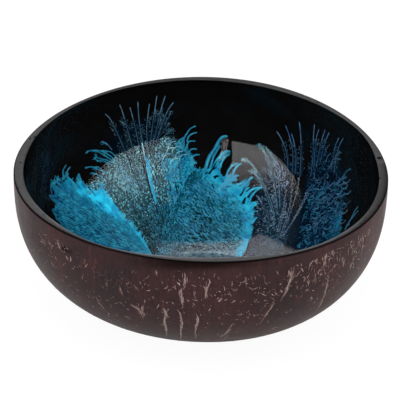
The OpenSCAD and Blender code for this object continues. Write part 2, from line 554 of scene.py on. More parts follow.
def skin_stain(theta, depth, z, patch):
    """How dark the skin is: by the rim, painted shade under its front and low down, a stain in a
    spot.
    """
    uneven = 1 + 0.5 * waves(theta, z, 6, 4)
    line = np.clip(1.3 - depth / 0.5, 0, 1)
    # Painted shade under the front of the rim
    ahead = np.exp(-(((np.degrees(theta) - 269) / 17) ** 2) ** 1.5)
    painted_front_shade = 0.86 * ahead * np.exp(-(np.maximum(depth - 1.0, 0) / (3.0 * uneven)) ** 2)
    # Painted shade low down, where the skin turns to face down
    low = 0.72 * np.clip(1 - z / 17, 0, 1) * uneven
    apart = (theta - math.atan2(patch[1], patch[0]) % TURN) * BELLY_R
    spot = np.exp(-((apart / PATCH_MM[0]) ** 2 + ((z - patch[2]) / PATCH_MM[1]) ** 2) ** 2)
    return np.clip(np.maximum.reduce([line, painted_front_shade, low, 0.75 * spot]), 0, 1)


def finish_piece():
    """The polished skin, faintly uneven from hand sanding, dark below the rim, painted shade at its
    front.
    """
    theta = np.arange(SKIN_COLUMNS) * TURN / SKIN_COLUMNS
    angles = np.linspace(curve_angle(0, SHELL_H), curve_angle(0, BARE_BAND), SKIN_ROWS)
    patch = surface(-OUTER_FINISH, *seen_place(PATCH_PX, -OUTER_FINISH))
    front, back, stains = [], [], []
    for k, angle in enumerate(angles):
        ring = surface(-OUTER_FINISH, theta, angle)
        depth = SHELL_H - ring[:, 2]
        fade = min(1, k / 8, (SKIN_ROWS - 1 - k) / 8)
        dent = DENT * fade * (waves(theta, ring[:, 2], 5, 9) - DENT_MEAN)
        front.append(ring + normals_at(ring, -OUTER_FINISH) * dent[:, None])
        back.append(surface(0, theta, angle))
        stains.append(skin_stain(theta, depth, front[-1][:, 2], patch))
    front[0][:, 2] = back[0][:, 2] = SHELL_H
    points, faces = closed_rings(front + back[::-1], loop=True)
    make_piece("polished_skin", points, faces, finish_material(), "outer_finish",
               "outer_finish", stain=np.concatenate(stains + stains[::-1]))


def coat_piece(name, back_inset, front_inset, material, slot, node):
    """A coat over the whole inside."""
    skins = []
    for inset in (front_inset, back_inset):
        top = curve_angle(inset, SHELL_H)
        steps = np.linspace(top, math.pi / 2, COAT_ROWS)[1:-1]
        rings = [ring_of(inset, a, COAT_COLUMNS) for a in (top, top + EDGE_STEP, *steps)]
        skins.append(closed_rings(rings + [pole_of(inset)], flip=inset == front_inset))
    make_piece(name, *two_skins(*skins, COAT_COLUMNS, False), material, slot, node)


RIM_COLUMNS = 1440
RIM_STEPS = 16
# Pores seen in the photograph, and the chip at the right of the rim
RIM_PORES_PX = [(35, 137), (41, 164), (42, 168), (379, 178), (300, 92), (325, 101), (331, 104)]
RIM_CHIP_PX = (380.5, 158)
PORE_SIZE = 0.55
PORE_DEPTH = 0.2
CHANCE_PORES = 46
CHIP_SIZE = 0.9
CHIP_SHARE = 0.016
# How far the rim stands back from the skin, and how far it covers the edge of the linings
RIM_BACK = 0.05
RIM_LAP = 0.012


def on_rim(pixels):
    """Places on the level top of the rim at pixels."""
    place, way = rays(pixels)
    return (place + way * ((RIM_TOP - place[2]) / way[..., 2])[..., None])[..., :2]


def rim_radius(inset):
    ring = ring_of(inset, curve_angle(inset, SHELL_H), RIM_COLUMNS)
    return np.hypot(ring[:, 0], ring[:, 1])


def rim_rows(turned, outer_r, inner_r):
    """Rings around the rim's section: radius, height, how dark and how much painted highlight."""
    side, lip, width = outer_r - RIM_BACK, inner_r - RIM_LAP, outer_r - inner_r
    # Painted shade: the dark reaches further in from the outer edge at the two front corners
    shaded = 0.3 + 1.7 * ridge(345, 20, turned) + 0.45 * ridge(236, 14, turned)
    # Painted shade: the land is darker towards its back and left
    painted_back_shade = 0.45 * ridge(92, 52, turned) + 0.14 * ridge(185, 40, turned)
    painted_back_shade = painted_back_shade + 0.14 * ridge(125, 14, turned)
    # Painted highlight along the front of the inner edge
    lit = 0.26 * ease(200, 215, turned) * ease(332, 315, turned) + 0.34 * ridge(257, 20, turned)
    rows = [(side, SHELL_H - 0.1, 1, 0), (side, SHELL_H + 0.1, 1, 0),
            (outer_r - 0.09, RIM_TOP - 0.09, 1, 0), (outer_r - 0.25, RIM_TOP - 0.02, 0.9, 0)]
    for k in range(RIM_STEPS + 1):
        inward = 0.4 + k / RIM_STEPS * (width - 0.85)
        rows.append((outer_r - inward, RIM_TOP - 0.01,
                     np.maximum(0.95 * np.exp(-(inward - 0.25) / shaded), painted_back_shade),
                     lit * np.clip((inward - width + 0.95) / 0.4, 0, 1)))
    return rows + [(inner_r + 0.25, RIM_TOP - 0.03, painted_back_shade, lit),
                   (inner_r + 0.08, RIM_TOP - 0.1, np.clip(2.2 * painted_back_shade, 0.3, 1), lit),
                   (lip, SHELL_H + 0.08, 1, 0), (lip, SHELL_H - 0.01, 1, 0),
                   (inner_r + 0.9, SHELL_H, 1, 0), (outer_r - 0.4, SHELL_H, 1, 0)]


def rim_piece():
    """The satin land on the sawn edge, with pores, a chip and a thin black lip."""
    theta = np.arange(RIM_COLUMNS) * TURN / RIM_COLUMNS
    draw = np.random.default_rng(11)
    outer_r, inner_r = rim_radius(-OUTER_FINISH), rim_radius(INSIDE_INSET)
    extra = draw.uniform(0, TURN, CHANCE_PORES)
    reach = inner_r[(extra / TURN * RIM_COLUMNS).astype(int)]
    reach = reach + draw.uniform(0.5, 3.0, CHANCE_PORES)
    by_chance = np.stack([reach * np.cos(extra), reach * np.sin(extra)], -1)
    spots = np.concatenate([on_rim(RIM_PORES_PX), by_chance])
    sizes = np.concatenate([np.full(len(RIM_PORES_PX), PORE_SIZE),
                            draw.uniform(0.16, 0.36, CHANCE_PORES)])
    chip = on_rim(RIM_CHIP_PX)
    rings, darks, lights = [], [], []
    for r, z, dark, light in rim_rows(np.degrees(theta), outer_r, inner_r):
        ring = np.stack([r * np.cos(theta), r * np.sin(theta), np.full(theta.shape, z)], -1)
        shadow = dark + 0 * theta
        lights.append(light + 0 * theta)
        if z > SHELL_H + 0.05:
            for spot, size in zip(spots, sizes):
                near = np.exp(-np.sum((ring[:, :2] - spot) ** 2, 1) / size ** 2)
                ring[:, 2] -= PORE_DEPTH * near * (z - SHELL_H) / (RIM_TOP - SHELL_H)
                shadow = np.maximum(shadow, np.clip(near * 1.8, 0, 1))
            ring[:, 2] += 0.01 * waves(theta, 0.0, 21, 1) - 0.01
        gap = np.exp(-np.sum((ring[:, :2] - chip) ** 2, 1) / CHIP_SIZE ** 2)
        ring[:, :2] *= 1 - CHIP_SHARE * gap[:, None]
        rings.append(ring)
        darks.append(np.clip(np.maximum(shadow, 1.6 * gap), 0, 1))
    points, faces = closed_rings(rings, loop=True, flip=True)
    make_piece("rim_land", points, faces, rim_material(), "rim_lacquer", "rim_lacquer",
               dark=np.concatenate(darks), light=np.concatenate(lights))


# Fibres in the outside

# How deep a fibre lies in the skin, how far it sinks at its edges and rises at its crest
FIBRE_DEPTH = 0.10
FIBRE_SINK = 0.02
FIBRE_RISE = 0.012


def ribbon(points, normals, half_widths):
    """A thin closed sliver along points: flat below, ridged above."""
    side = unit(np.cross(normals, np.gradient(points, axis=0))) * half_widths[:, None]
    low = points - normals * FIBRE_SINK
    return np.stack([low + side, points + normals * FIBRE_RISE, low - side], 1).reshape(-1, 3)


def ribbon_faces(count, base):
    faces = []
    for k in range(count - 1):
        a, b = base + 3 * k, base + 3 * (k + 1)
        faces += [(a, a + 1, b + 1, b), (a + 1, a + 2, b + 2, b + 1), (a + 2, a, b, b + 2)]
    last = base + 3 * (count - 1)
    return faces + [(base, base + 2, base + 1), (last, last + 1, last + 2)]


# Long fibres seen in the photograph: points along each, then its half width in mm
LONG_FIBRES_PX = [
    ([(105, 268), (106.5, 276), (108, 287)], 0.34),
    ([(119.5, 286), (120.5, 290), (122, 295.5)], 0.34),
    ([(131, 305), (137, 309), (141, 313), (143, 320)], 0.30),
    ([(144, 305), (142, 311), (144, 318)], 0.28),
    ([(163, 309), (166, 315), (164, 321), (166, 330), (167, 338)], 0.36),
    ([(155, 264.5), (156, 270), (157, 276)], 0.30),
    ([(184.5, 273), (185, 281), (184, 290)], 0.30),
    ([(181, 288), (181.5, 298), (182.5, 307)], 0.42),
    ([(178, 309), (181, 318), (181.5, 328), (180.5, 340)], 0.46),
    ([(193.5, 265), (194, 271)], 0.22),
    ([(194, 291), (194.5, 298)], 0.22),
    ([(196, 313), (198, 320), (195.5, 330), (196, 339)], 0.34),
    ([(209.5, 282), (206.5, 292), (205, 299)], 0.42),
    ([(245.5, 277), (246.5, 286)], 0.20),
    ([(294, 266.5), (291, 278), (287.5, 289), (280, 302)], 0.36),
    ([(275, 300.5), (269, 311), (260.5, 323)], 0.24),
    ([(329, 275), (327, 287), (322, 302), (313, 315)], 0.32),
    ([(233, 324), (227, 332), (220, 338)], 0.30),
    ([(362, 228), (363.5, 240), (361, 258)], 0.30),
    ([(371, 221), (370, 230), (367, 238)], 0.34),
    ([(355, 256), (352, 264), (350, 270)], 0.34),
    ([(345, 259), (343, 267)], 0.36),
    ([(327, 253), (326, 260), (323, 268)], 0.36),
    ([(95, 296), (100, 304), (107, 313)], 0.16),
    ([(57, 240), (58, 245), (62, 252)], 0.26),
    ([(77, 238), (79, 246), (77, 254)], 0.18),
    ([(104, 251), (105.5, 258)], 0.24),
    ([(97, 271), (101, 277)], 0.18),
    ([(270, 329), (279, 327)], 0.24)]
# Long fibres drawn at a share of those widths, each with finer strands beside it
FIBRE_SHARE = 0.68
FIBRE_FADE = 0.22
SIDE_STRANDS = 8
FIBRE_POINTS = 22
# Places where short flecks crowd: photo pixel, reach in pixels and how many
FLECK_CLOUDS_PX = [
    ((312, 272), (30, 32), 140), ((345, 245), (32, 20), 110), ((322, 246), (18, 12), 60),
    ((200, 292), (80, 36), 90), ((110, 275), (48, 36), 130), ((55, 243), (24, 14), 50), ((255, 300),
    (46, 28), 60), ((362, 232), (12, 18), 50)]
# Flecks strewn all round, fewer within an angle of the front, where the clouds are
LOOSE_FLECKS = 2500
AHEAD = 75
FLECK_LEAN = 0.75


def smooth_path(points, count):
    """Points of a smooth curve through a few given ones."""
    knots = np.asarray(points, float)
    if len(knots) == 2:
        return knots[0] + (knots[1] - knots[0]) * np.linspace(0, 1, count)[:, None]
    ends = np.concatenate([[2 * knots[0] - knots[1]], knots, [2 * knots[-1] - knots[-2]]])
    at = np.linspace(0, len(knots) - 1, count)
    cell = np.minimum(at.astype(int), len(knots) - 2)
    return spline(*(ends[cell + k] for k in range(4)), (at - cell)[:, None])


def fibre_piece():
    """All the pale husk fibres: the long ones by place, flecks by chance."""
    draw = np.random.default_rng(4)
    points, faces, fades, total = [], [], [], 0
    low, high = curve_angle(0, SHELL_H - 0.9), curve_angle(0, 2.5)

    def lay(theta, angle, half_width, fade):
        nonlocal total
        count = len(theta)
        at = surface(-OUTER_FINISH, theta, np.clip(angle, low, high))
        out = normals_at(at, -OUTER_FINISH)
        taper = np.sin(np.linspace(0.06, 0.94, count) * math.pi) ** 0.7
        widths = half_width * taper * draw.uniform(0.4, 1.5, count)
        points.append(ribbon(at - out * FIBRE_DEPTH, out, widths))
        faces.extend(ribbon_faces(count, total))
        fades.append(np.repeat(np.clip(fade + 0.5 * (1 - taper), 0, 1), 3))
        total += 3 * count

    def fleck(theta, angle, length, half_width, lean, fade):
        count = 5 if length < 3 else 11
        t = np.linspace(-0.5, 0.5, count)
        heading = draw.normal(0, lean) + draw.normal(0, 1.1 if length < 3 else 0.35) * t
        reach = BELLY_R * max(math.cos(angle), 0.25)
        lay(theta + np.cumsum(np.sin(heading)) * length / count / reach,
            angle + np.cumsum(np.cos(heading)) * length / count / BELLY_R, half_width, fade)

    for pixels, half_width in LONG_FIBRES_PX:
        path = smooth_path(pixels, FIBRE_POINTS)
        theta, angle = seen_place(path, -OUTER_FINISH)
        lay(theta + draw.normal(0, 0.0022, len(theta)), angle, half_width * FIBRE_SHARE,
            FIBRE_FADE)
        for _ in range(SIDE_STRANDS):
            first = draw.integers(0, 12)
            strand = path[first:first + 9] + draw.normal(0, 0.9, 2) * (1, 1.6)
            theta, angle = seen_place(strand, -OUTER_FINISH)
            lay(theta, angle, half_width * draw.uniform(0.15, 0.42), draw.uniform(0.1, 0.8))
    for middle, reach, count in FLECK_CLOUDS_PX:
        for _ in range(count):
            spot = np.array(middle) + draw.normal(0, 0.55, 2) * reach
            theta, angle = map(float, seen_place(spot, -OUTER_FINISH))
            if np.isfinite(angle) and angle > low:
                fleck(theta, angle, draw.uniform(0.6, 1.75) ** 2, draw.uniform(0.06, 0.18),
                      FLECK_LEAN, draw.uniform(0, 0.4))
    for _ in range(LOOSE_FLECKS):
        theta = draw.uniform(0, TURN)
        ahead = abs((theta / TURN * 360 - 270 + 180) % 360 - 180)
        if draw.uniform() > (0.6 if ahead < AHEAD else 1.0):
            continue
        angle = low + (high - low) * draw.uniform() ** 1.15
        if ahead > AHEAD and draw.uniform() < 0.1:
            fleck(theta, angle, draw.uniform(4, 13), draw.uniform(0.16, 0.38), 0.22, 0.0)
        else:
            fleck(theta, angle, draw.uniform(0.6, 1.6) ** 2, draw.uniform(0.04, 0.10),
                  FLECK_LEAN, draw.uniform(0.0, 0.5))
    make_piece("husk_fibres", np.concatenate(points), faces, fibre_material(), "outer_finish",
               None, fade=np.concatenate(fades))


# Blown paint

SKY = np.array((0.016, 0.46, 0.70))
CYAN = np.array((0.016, 0.31, 0.48))
BLUE = np.array((0.012, 0.15, 0.27))
DEEP = np.array((0.006, 0.045, 0.11))
TEAL = np.array((0.02, 0.22, 0.30))
PALE = np.array((0.34, 0.68, 0.76))
MIST = np.array((0.16, 0.44, 0.52))
STEEL = np.array((0.055, 0.14, 0.22))
LILAC = np.array((0.17, 0.24, 0.34))
SHINE = np.array((0.42, 0.85, 0.95))
GAP = np.array((0.003, 0.010, 0.018))
INK = np.array((0.008, 0.09, 0.15))
STEM = np.array((0.085, 0.19, 0.27))
DUSK = np.array((0.055, 0.14, 0.26))
# Points across a film and down it, along a stem and along a strand
ACROSS = 220
DOWN = 70
STEM_POINTS = 60
STRAND_POINTS = 200
# How far a strip's or drop's middle stands above its edges, and the sides of a drop
CREST = 0.05
DROP_SIDES = 6


def blend(a, b, share):
    share = np.clip(share, 0, 1)[..., None]
    return np.asarray(a) * (1 - share) + np.asarray(b) * share


def halfway(a, b, share=0.5):
    return blend(a, b, np.array(share))


def arc(starts, bends, ends, count=7):
    """Curved paths from starts to ends, pulled towards bends."""
    t = np.linspace(0, 1, count)[:, None]
    a, b, c = (np.asarray(p, float)[..., None, :] for p in (starts, bends, ends))
    return (1 - t) ** 2 * a + 2 * (1 - t) * t * b + t ** 2 * c


def sideways(way):
    """A quarter turn of directions in the picture."""
    return np.stack([-way[:, 1], way[:, 0]], 1)


class Fan:
    """Films, strands and drops of one blown fan, set out in pixels of the photograph."""

    def __init__(self, name, seed, level=0.06):
        self.name = name
        self.draw = np.random.default_rng(seed)
        self.level = level
        self.places, self.heights, self.faces, self.total = [], [], [], 0
        self.looks = {"bright": [], "solid": [], "grain": [], "flow": []}

    def add(self, places, height, faces, bright, solid=1.0, grain=0.0, flow=(0, 0, 0)):
        """Points by direction and profile angle, with their heights, faces and looks."""
        count = places[0].size
        self.places.append(np.stack([place.ravel() for place in places], -1))
        self.heights.append(np.broadcast_to(height, (count,)))
        for key, value, shape in (("bright", bright, (count, 3)), ("solid", solid, (count,)),
                                  ("grain", grain, (count,)), ("flow", flow, (count, 3))):
            self.looks[key].append(np.broadcast_to(np.asarray(value, float), shape))
        self.faces += [tuple(i + self.total for i in f) for f in faces]
        self.total += count

    def film(self, root, edge, colour, solid, flow, grain=None, ragged=0.02, raised=0.0):
        """A body of paint from its root to its edge; its looks go by (u, v), u outward."""
        outline = smooth_path(edge, ACROSS)
        wobble = np.convolve(self.draw.normal(0, 1, ACROSS), [0.25, 0.5, 0.25], "same")
        v, u = np.meshgrid(np.linspace(0, 1, ACROSS), np.linspace(0.02, 1, DOWN) ** 0.9)
        stretch = 1 + ragged * wobble[None, :] * u ** 6
        pixels = np.asarray(root) + (outline - root)[None] * (u * stretch)[..., None]
        inner = (u < 1) & (v > 0) & (v < 1) & (u > u[0, 0])
        quads = [(a, a + 1, a + ACROSS + 1, a + ACROSS) for k in range(DOWN - 1)
                 for a in range(k * ACROSS, k * ACROSS + ACROSS - 1)]
        self.add(seen_place(pixels, PAINT_INSET),
                 np.where(inner, self.level + raised, 0.0).ravel(), quads,
                 colour(u, v).reshape(-1, 3), solid(u, v).ravel(),
                 0.0 if grain is None else grain(u, v).ravel(),
                 np.stack([v * flow[0], u * flow[1], 0 * u], -1).reshape(-1, 3))

    def strips(self, paths, widths, colour, raised):
        """Low ridges of paint along paths of pixels, with a half width in mm at each point."""
        many, count = paths.shape[:2]
        at = surface(PAINT_INSET, *seen_place(paths, PAINT_INSET))
        side = unit(np.cross(-normals_at(at, PAINT_INSET), np.gradient(at, axis=1)))
        reach = side * widths[..., None]
        faces = [f for k in range(many) for f in ribbon_faces(count, 3 * count * k)]
        low = self.level + raised
        colour = np.broadcast_to(np.asarray(colour, float).reshape(-1, 1, 3), (many, count, 3))
        # Painted highlight along each strip's crest, lightened towards SHINE, and painted shade on
        # its sides
        lit = colour * 0.88 + 0.12 * SHINE * colour.max(-1, keepdims=True)
        self.add(place_of(np.stack([at + reach, at, at - reach], 2), PAINT_INSET),
                 np.tile([low, low + CREST, low], many * count), faces,
                 np.stack([colour * 0.85, lit, colour * 0.85], 2).reshape(-1, 3))

    def runs(self, paths, half_width, colour, bulb=0.0, tip=0.5, raised=0.0):
        """Runs of paint that taper to a tip, or end in a round drop of half width bulb."""
        t = np.linspace(0, 1, paths.shape[1])
        widths = np.broadcast_to(half_width, (len(paths),))[:, None] * (1 - (1 - tip) * t)
        ends = np.broadcast_to(bulb, (len(paths),))[:, None]
        widths = np.maximum(widths, ends * np.exp(-((t - 0.93) * len(t) / 1.6) ** 2))
        widths[:, -1] *= 0.4
        self.strips(paths, widths, colour, raised)

    def run(self, pixels, half_width, colour, bulb=0.0, tip=0.5, raised=0.0, count=18):
        self.runs(smooth_path(pixels, count)[None], half_width, colour, bulb, tip, raised)

    def each_run(self, lines, *looks):
        for pixels in lines:
            self.run(pixels, *looks)

    def drops(self, pixels, radii, colour):
        """Small round drops of paint."""
        at = surface(PAINT_INSET, *seen_place(pixels, PAINT_INSET))[:, None]
        inward = -normals_at(at, PAINT_INSET)
        across = unit(np.cross(inward, [0, 0, 1.0]))
        turn = (np.arange(DROP_SIDES) * TURN / DROP_SIDES)[:, None]
        ring = across * np.cos(turn) + np.cross(inward, across) * np.sin(turn)
        rows = np.concatenate([at, at + ring * radii[:, None, None]], 1)
        many = DROP_SIDES + 1
        faces = []
        for base in range(0, many * len(at), many):
            rim = [base + 1 + c for c in range(DROP_SIDES)]
            faces += [(base, rim[c], rim[(c + 1) % DROP_SIDES]) for c in range(DROP_SIDES)]
            faces.append(tuple(rim[::-1]))
        self.add(place_of(rows, PAINT_INSET),
                 np.tile([self.level + CREST] + [self.level] * DROP_SIDES, len(at)), faces,
                 np.repeat(np.broadcast_to(colour, (len(at), 3)), many, axis=0))

    def brush(self, knots, colour, half_width, barbs, reach, bare, dots, dim=0.75,
              sides=(-1, 1)):
        """A fine stem; all but its bare tip bristles with short barbs and rows of dots."""
        draw = self.draw
        stem = smooth_path(knots, STEM_POINTS)
        fin = stem + (1.1, 0.6) * np.linspace(1, 0.2, STEM_POINTS)[:, None]
        self.runs(fin[None, :42:3], half_width * 4.5, DEEP * 0.45, 0, 0.3)
        self.runs(stem[None, ::3], half_width, colour * 0.8, half_width * 1.4, 0.85, 0.02)
        self.runs(stem[None, 33::3], half_width * 1.1, colour * 1.7, half_width * 1.5, 0.9, 0.04)
        along = unit(np.gradient(stem, axis=0))
        out = sideways(along)
        last = int((STEM_POINTS - 1) * (1 - bare))
        at = draw.integers(0, last, barbs)
        side = draw.choice(sides, barbs)[:, None]
        size = (reach * (1 - 0.55 * at / last) * draw.uniform(0.35, 1, barbs))[:, None]
        lean = draw.uniform(0.3, 1.0, (barbs, 1))
        starts = stem[at] + out[at] * side * draw.uniform(0, 1.2, (barbs, 1))
        bends = starts + (out[at] * side * 0.75 + along[at] * 0.1) * size
        ends = starts + (out[at] * side * 0.9 + along[at] * lean) * size
        tint = colour * draw.uniform(dim * 0.3, dim * 0.8, (barbs, 1))
        self.runs(arc(starts, bends, ends), draw.uniform(0.07, 0.12, barbs), tint)
        self.drops(ends, draw.uniform(0.10, 0.19, barbs),
                   (colour * 0.8 + PALE * 0.35) * draw.uniform(0.4, 1.3, (barbs, 1)))
        at = draw.integers(0, last, dots)
        off = draw.choice(sides, (dots, 1)) * draw.uniform(0.4, 1.1, (dots, 1))
        spots = stem[at] + out[at] * off * reach * (1 - 0.5 * at / last)[:, None]
        self.drops(spots, draw.uniform(0.08, 0.16, dots), colour * 1.3)

    def beads(self, knots, colour, apart, wide, radius):
        """A strand of separate drops in two staggered rows, brighter towards the tip."""
        draw, end = self.draw, STRAND_POINTS - 1
        path = smooth_path(knots, STRAND_POINTS)
        length = np.linalg.norm(np.diff(path, axis=0), axis=1).sum()
        count = max(4, int(length / apart))
        at = (np.linspace(0, end, count) + draw.normal(0, 2, count)).clip(0, end).astype(int)
        out = sideways(unit(np.gradient(path, axis=0)[at]))
        off = wide * draw.normal(0, 0.25, (count, 1))
        off += wide * 0.6 * np.where(np.arange(count) % 2, 1, -1)[:, None]
        fade = 0.45 + 0.75 * (at / end)[:, None]
        self.drops(path[at] + out * off, radius * draw.uniform(0.7, 1.2, count),
                   colour * fade * draw.uniform(0.7, 1.2, (count, 1)))

    def fringe(self, line, way, size, colour, count, half_width=0.22, bulb=0.26):
        """Small teeth and drips of paint along a line of pixels, all leaning one way."""
        draw = self.draw
        place = smooth_path(line, STRAND_POINTS)[np.sort(draw.integers(0, STRAND_POINTS, count))]
        way = np.asarray(way, float) + draw.normal(0, 0.28, (count, 2))
        size = (size * draw.uniform(0.3, 1.25, count))[:, None]
        side = sideways(way) * draw.normal(0, 0.6, (count, 1))
        paths = arc(place - way * 0.8, place + (way * 0.5 + side * 0.4) * size,
                    place + way * size)
        self.runs(paths, half_width * draw.uniform(0.6, 1.2, count), colour,
                  bulb * draw.uniform(0.5, 1.2, count))

    def strew(self, polygon, count):
        """Chance places inside a polygon of pixels."""
        corners = np.asarray(polygon, float)
        spots = self.draw.uniform(corners.min(0), corners.max(0), (count * 4, 2))
        ahead = np.roll(corners, -1, 0)
        rises = (corners[:, 1] > spots[:, 1:]) != (ahead[:, 1] > spots[:, 1:])
        cut = (corners[:, 0] + (spots[:, 1:] - corners[:, 1])
               / (ahead[:, 1] - corners[:, 1] + 1e-9) * (ahead[:, 0] - corners[:, 0]))
        inside = np.sum(rises & (spots[:, :1] < cut), 1) % 2 == 1
        return spots[inside][:count]

    def scatter(self, polygon, count, radii, colours):
        """Drops strewn over a polygon of pixels."""
        spots = self.strew(polygon, count)
        tint = blend(*colours, self.draw.uniform(0, 1, len(spots)))
        self.drops(spots, self.draw.uniform(*radii, len(spots)), tint)

    def hatch(self, polygon, count, towards, size, half_width, colours, stray=0.16, curl=0.2):
        """Short dashes of paint strewn over a polygon of pixels, all aimed at one pixel."""
        draw = self.draw
        starts = self.strew(polygon, count)
        many = len(starts)
        way = unit(np.asarray(towards, float) - starts) + draw.normal(0, stray, (many, 2))
        size = (size * draw.uniform(0.5, 1.3, many))[:, None]
        side = sideways(way) * draw.normal(0, curl, (many, 1))
        tint = blend(*colours, draw.uniform(0, 1, many))
        self.runs(arc(starts, starts + (way * 0.5 + side) * size, starts + way * size, 5),
                  half_width * draw.uniform(0.6, 1.3, many), tint)

    def lay(self, rows):
        """Marks laid in turn: each row is a kind of mark, then what its method takes."""
        kinds = {"runs": self.each_run, "fringe": self.fringe, "drops": self.scatter,
                 "dashes": self.hatch}
        for kind, *rest_of_row in rows:
            kinds[kind](*rest_of_row)

    def build(self, node, slot, turn=0.0, mirror=False, name=None, dim=1.0):
        """The fan as one mesh on the wall, or turned round it for a side not seen."""
        place = np.concatenate(self.places)
        theta = -place[:, 0] if mirror else place[:, 0]
        at = surface(PAINT_INSET, theta + turn, place[:, 1])
        at = at - normals_at(at, PAINT_INSET) * np.concatenate(self.heights)[:, None]
        faces = [f[::-1] for f in self.faces] if mirror else self.faces
        looks = {key: np.concatenate(values) for key, values in self.looks.items()}
        # dim darkens the whole fan: painted shade for the copies on the front wall
        looks["bright"] = np.concatenate([looks["bright"] * dim, np.ones((len(at), 1))], 1)
        make_piece(name or self.name, at, faces, PAINT, slot, node, **looks)


# The fans: each has its outline and the rows of marks that are laid on it, in pixels

LEFT_EDGE_PX = [
    (116, 258), (86, 241), (66, 229), (54, 217), (50.5, 206), (51, 196), (52.5, 186), (55, 183),
    (58, 180), (61, 180.5), (64, 178), (67, 175.5), (69.5, 180), (72, 184), (74, 189.5),
    (76.5, 188), (78, 184), (80, 179.5), (83, 185), (86, 188), (87.5, 193), (91, 194), (95, 193),
    (97, 189), (99.5, 184.5), (102, 187), (104, 195), (106.5, 193.5), (107.5, 199), (110, 205),
    (113, 211), (117, 214.5), (122, 218), (126, 220.5), (130, 224), (134, 228), (140, 234.5),
    (146, 244), (151, 254)]
LEFT_MARKS_PX = [
    ("dashes", [(54, 204), (80, 208), (104, 216), (122, 233), (148, 258), (118, 257), (86, 241),
     (62, 227)], 1200, (168, 262), 3.7, 0.17, ((0.004, 0.045, 0.08), SKY * 0.92)),
    ("dashes", [(58, 190), (72, 190), (92, 198), (104, 204), (112, 220), (90, 214), (58, 204)], 420,
     (150, 250), 3.4, 0.14, (INK, SKY), 0.3),
    ("runs", [[(63.5, 180), (62.8, 171), (66, 164.8)], [(67, 178), (67.2, 171), (70, 167)],
     [(78.5, 183), (76.8, 178), (79, 173.5)], [(99.8, 187), (100, 184), (101.5, 182.5)]], 0.42,
     CYAN, 0.36, 0.6),
    ("fringe", LEFT_EDGE_PX[5:22], (-0.1, -1), 4.0, CYAN, 100, 0.3),
    ("fringe", LEFT_EDGE_PX[24:38], (0.6, -0.9), 3.0, SKY, 80, 0.28),
    ("fringe", [(84, 184), (92, 187), (99, 185)], (-0.6, -0.3), 5, CYAN, 12, 0.16, 0.2)]


def left_fan():
    """Bright body of fine dashes with a ragged top."""
    def colour(u, v):
        sky = ease(0.2, 0.42, v) * ease(0.5, 0.72, u) * (1 - 0.8 * ease(0.7, 0.8, v))
        return blend(blend(BLUE, CYAN, ease(0.1, 0.5, v)), SKY * 1.2, sky)

    def solid(u, v):
        crest = np.maximum(1.3 * ease(0.58, 0.76, u) * ridge(0.5, 0.24, v), ease(0.88, 0.94, v))
        return 0.02 + 0.5 * np.maximum(ease(0.62, 0.8, u) * ease(0.08, 0.2, v), crest)

    fan = Fan("left_fan_paint", 31, 0.13)
    fan.film((157, 264), LEFT_EDGE_PX, colour, solid, (120, 22), ragged=0.045)
    fan.lay(LEFT_MARKS_PX)
    return fan


BACK_ROOT_PX = (164, 268)
BACK_EDGE_PX = [
    (118, 250), (104, 222), (95, 203), (90, 190), (91, 183), (97, 178), (104, 171), (108, 164),
    (112, 158.5), (116, 154), (121, 151), (126, 149), (131, 147), (137, 144), (143, 142),
    (149, 140), (156, 138), (163, 136.5), (170, 136.5), (176, 138.5), (181, 143), (186, 148),
    (190, 155), (193, 163), (194.5, 171), (193, 182), (188, 198), (184, 214), (182, 232)]
BACK_HAZE_PX = [
    (108, 166), (107, 152), (110, 140), (114, 130), (122, 124), (130, 122), (138, 122), (146, 120),
    (153, 119), (160, 120), (167, 124), (172, 131), (176, 141)]
# Dark lines down the body: where each lies across it, how wide and how deep
BACK_LINES = [
    (0.36, 0.006, 0.25), (0.41, 0.006, 0.25), (0.49, 0.008, 0.3), (0.535, 0.008, 0.3),
    (0.3, 0.005, 0.2)]
# Stems, and the sides to which their barbs fall by chance
BACK_STEMS_PX = [
    ([(127, 156), (117, 133), (110, 119), (104.3, 113.3)], (-1, -1, -1, 1)),
    ([(134, 154), (128, 132), (123, 114), (119.2, 103.5)], (-1, -1, -1, 1)),
    ([(140, 150), (136, 132), (132, 115), (129.5, 106.4)], (-1, -1, 1)),
    ([(148, 170), (142.5, 142), (139, 120), (137.6, 99.5)], (-1, 1)),
    ([(148, 150), (146.5, 130), (148, 114), (149.6, 102.4)], (-1, 1)),
    ([(150, 148), (152, 128), (155, 108), (157.1, 94.3)], (-1, 1, 1)),
    ([(153, 146), (157, 126), (161, 109), (165.7, 94.3)], (-1, 1, 1)),
    ([(156, 143), (162, 124), (168, 110), (174.3, 101.2)], (1, 1, -1))]
BACK_STEM_ROOT_PX = (154.0, 146)
BACK_SHORT_TIPS_PX = [
    (160.5, 117), (169, 122), (171, 129), (174, 128.5), (155, 108), (162, 106), (118.5, 120.5),
    (171, 110.5)]
BACK_TENDRILS_PX = [
    [(116, 161), (108, 154.5), (99, 150.6), (90, 150.6), (85.6, 153.2)],
    [(114, 162), (107, 157), (98, 152), (92, 150.5)],
    [(115, 164), (106, 160), (98, 158), (95, 154)],
    [(112, 165), (103, 161), (97, 160.5), (94, 157)],
    [(118, 160), (112, 153), (106, 151), (101, 151)],
    [(106, 173), (98, 169.5), (92, 166.8), (84.8, 168)],
    [(104, 172), (98, 167), (94.5, 167.5)],
    [(102, 177), (96, 174), (92.5, 173)],
    [(112, 150), (107, 144), (102, 141.5)]]
# Height in the picture below which the tendrils are brighter
BACK_BRIGHT_BELOW = 158
BACK_HOOKS_PX = [(168, 143), (166, 149), (172, 148), (175, 153), (163, 155), (170, 160), (179, 156)]
BACK_RIBS_PX = [
    [(169, 160), (170.5, 174), (172, 188), (174.5, 203)],
    [(171, 163), (171, 178), (174, 192)],
    [(184, 176), (184, 190), (186, 198)]]
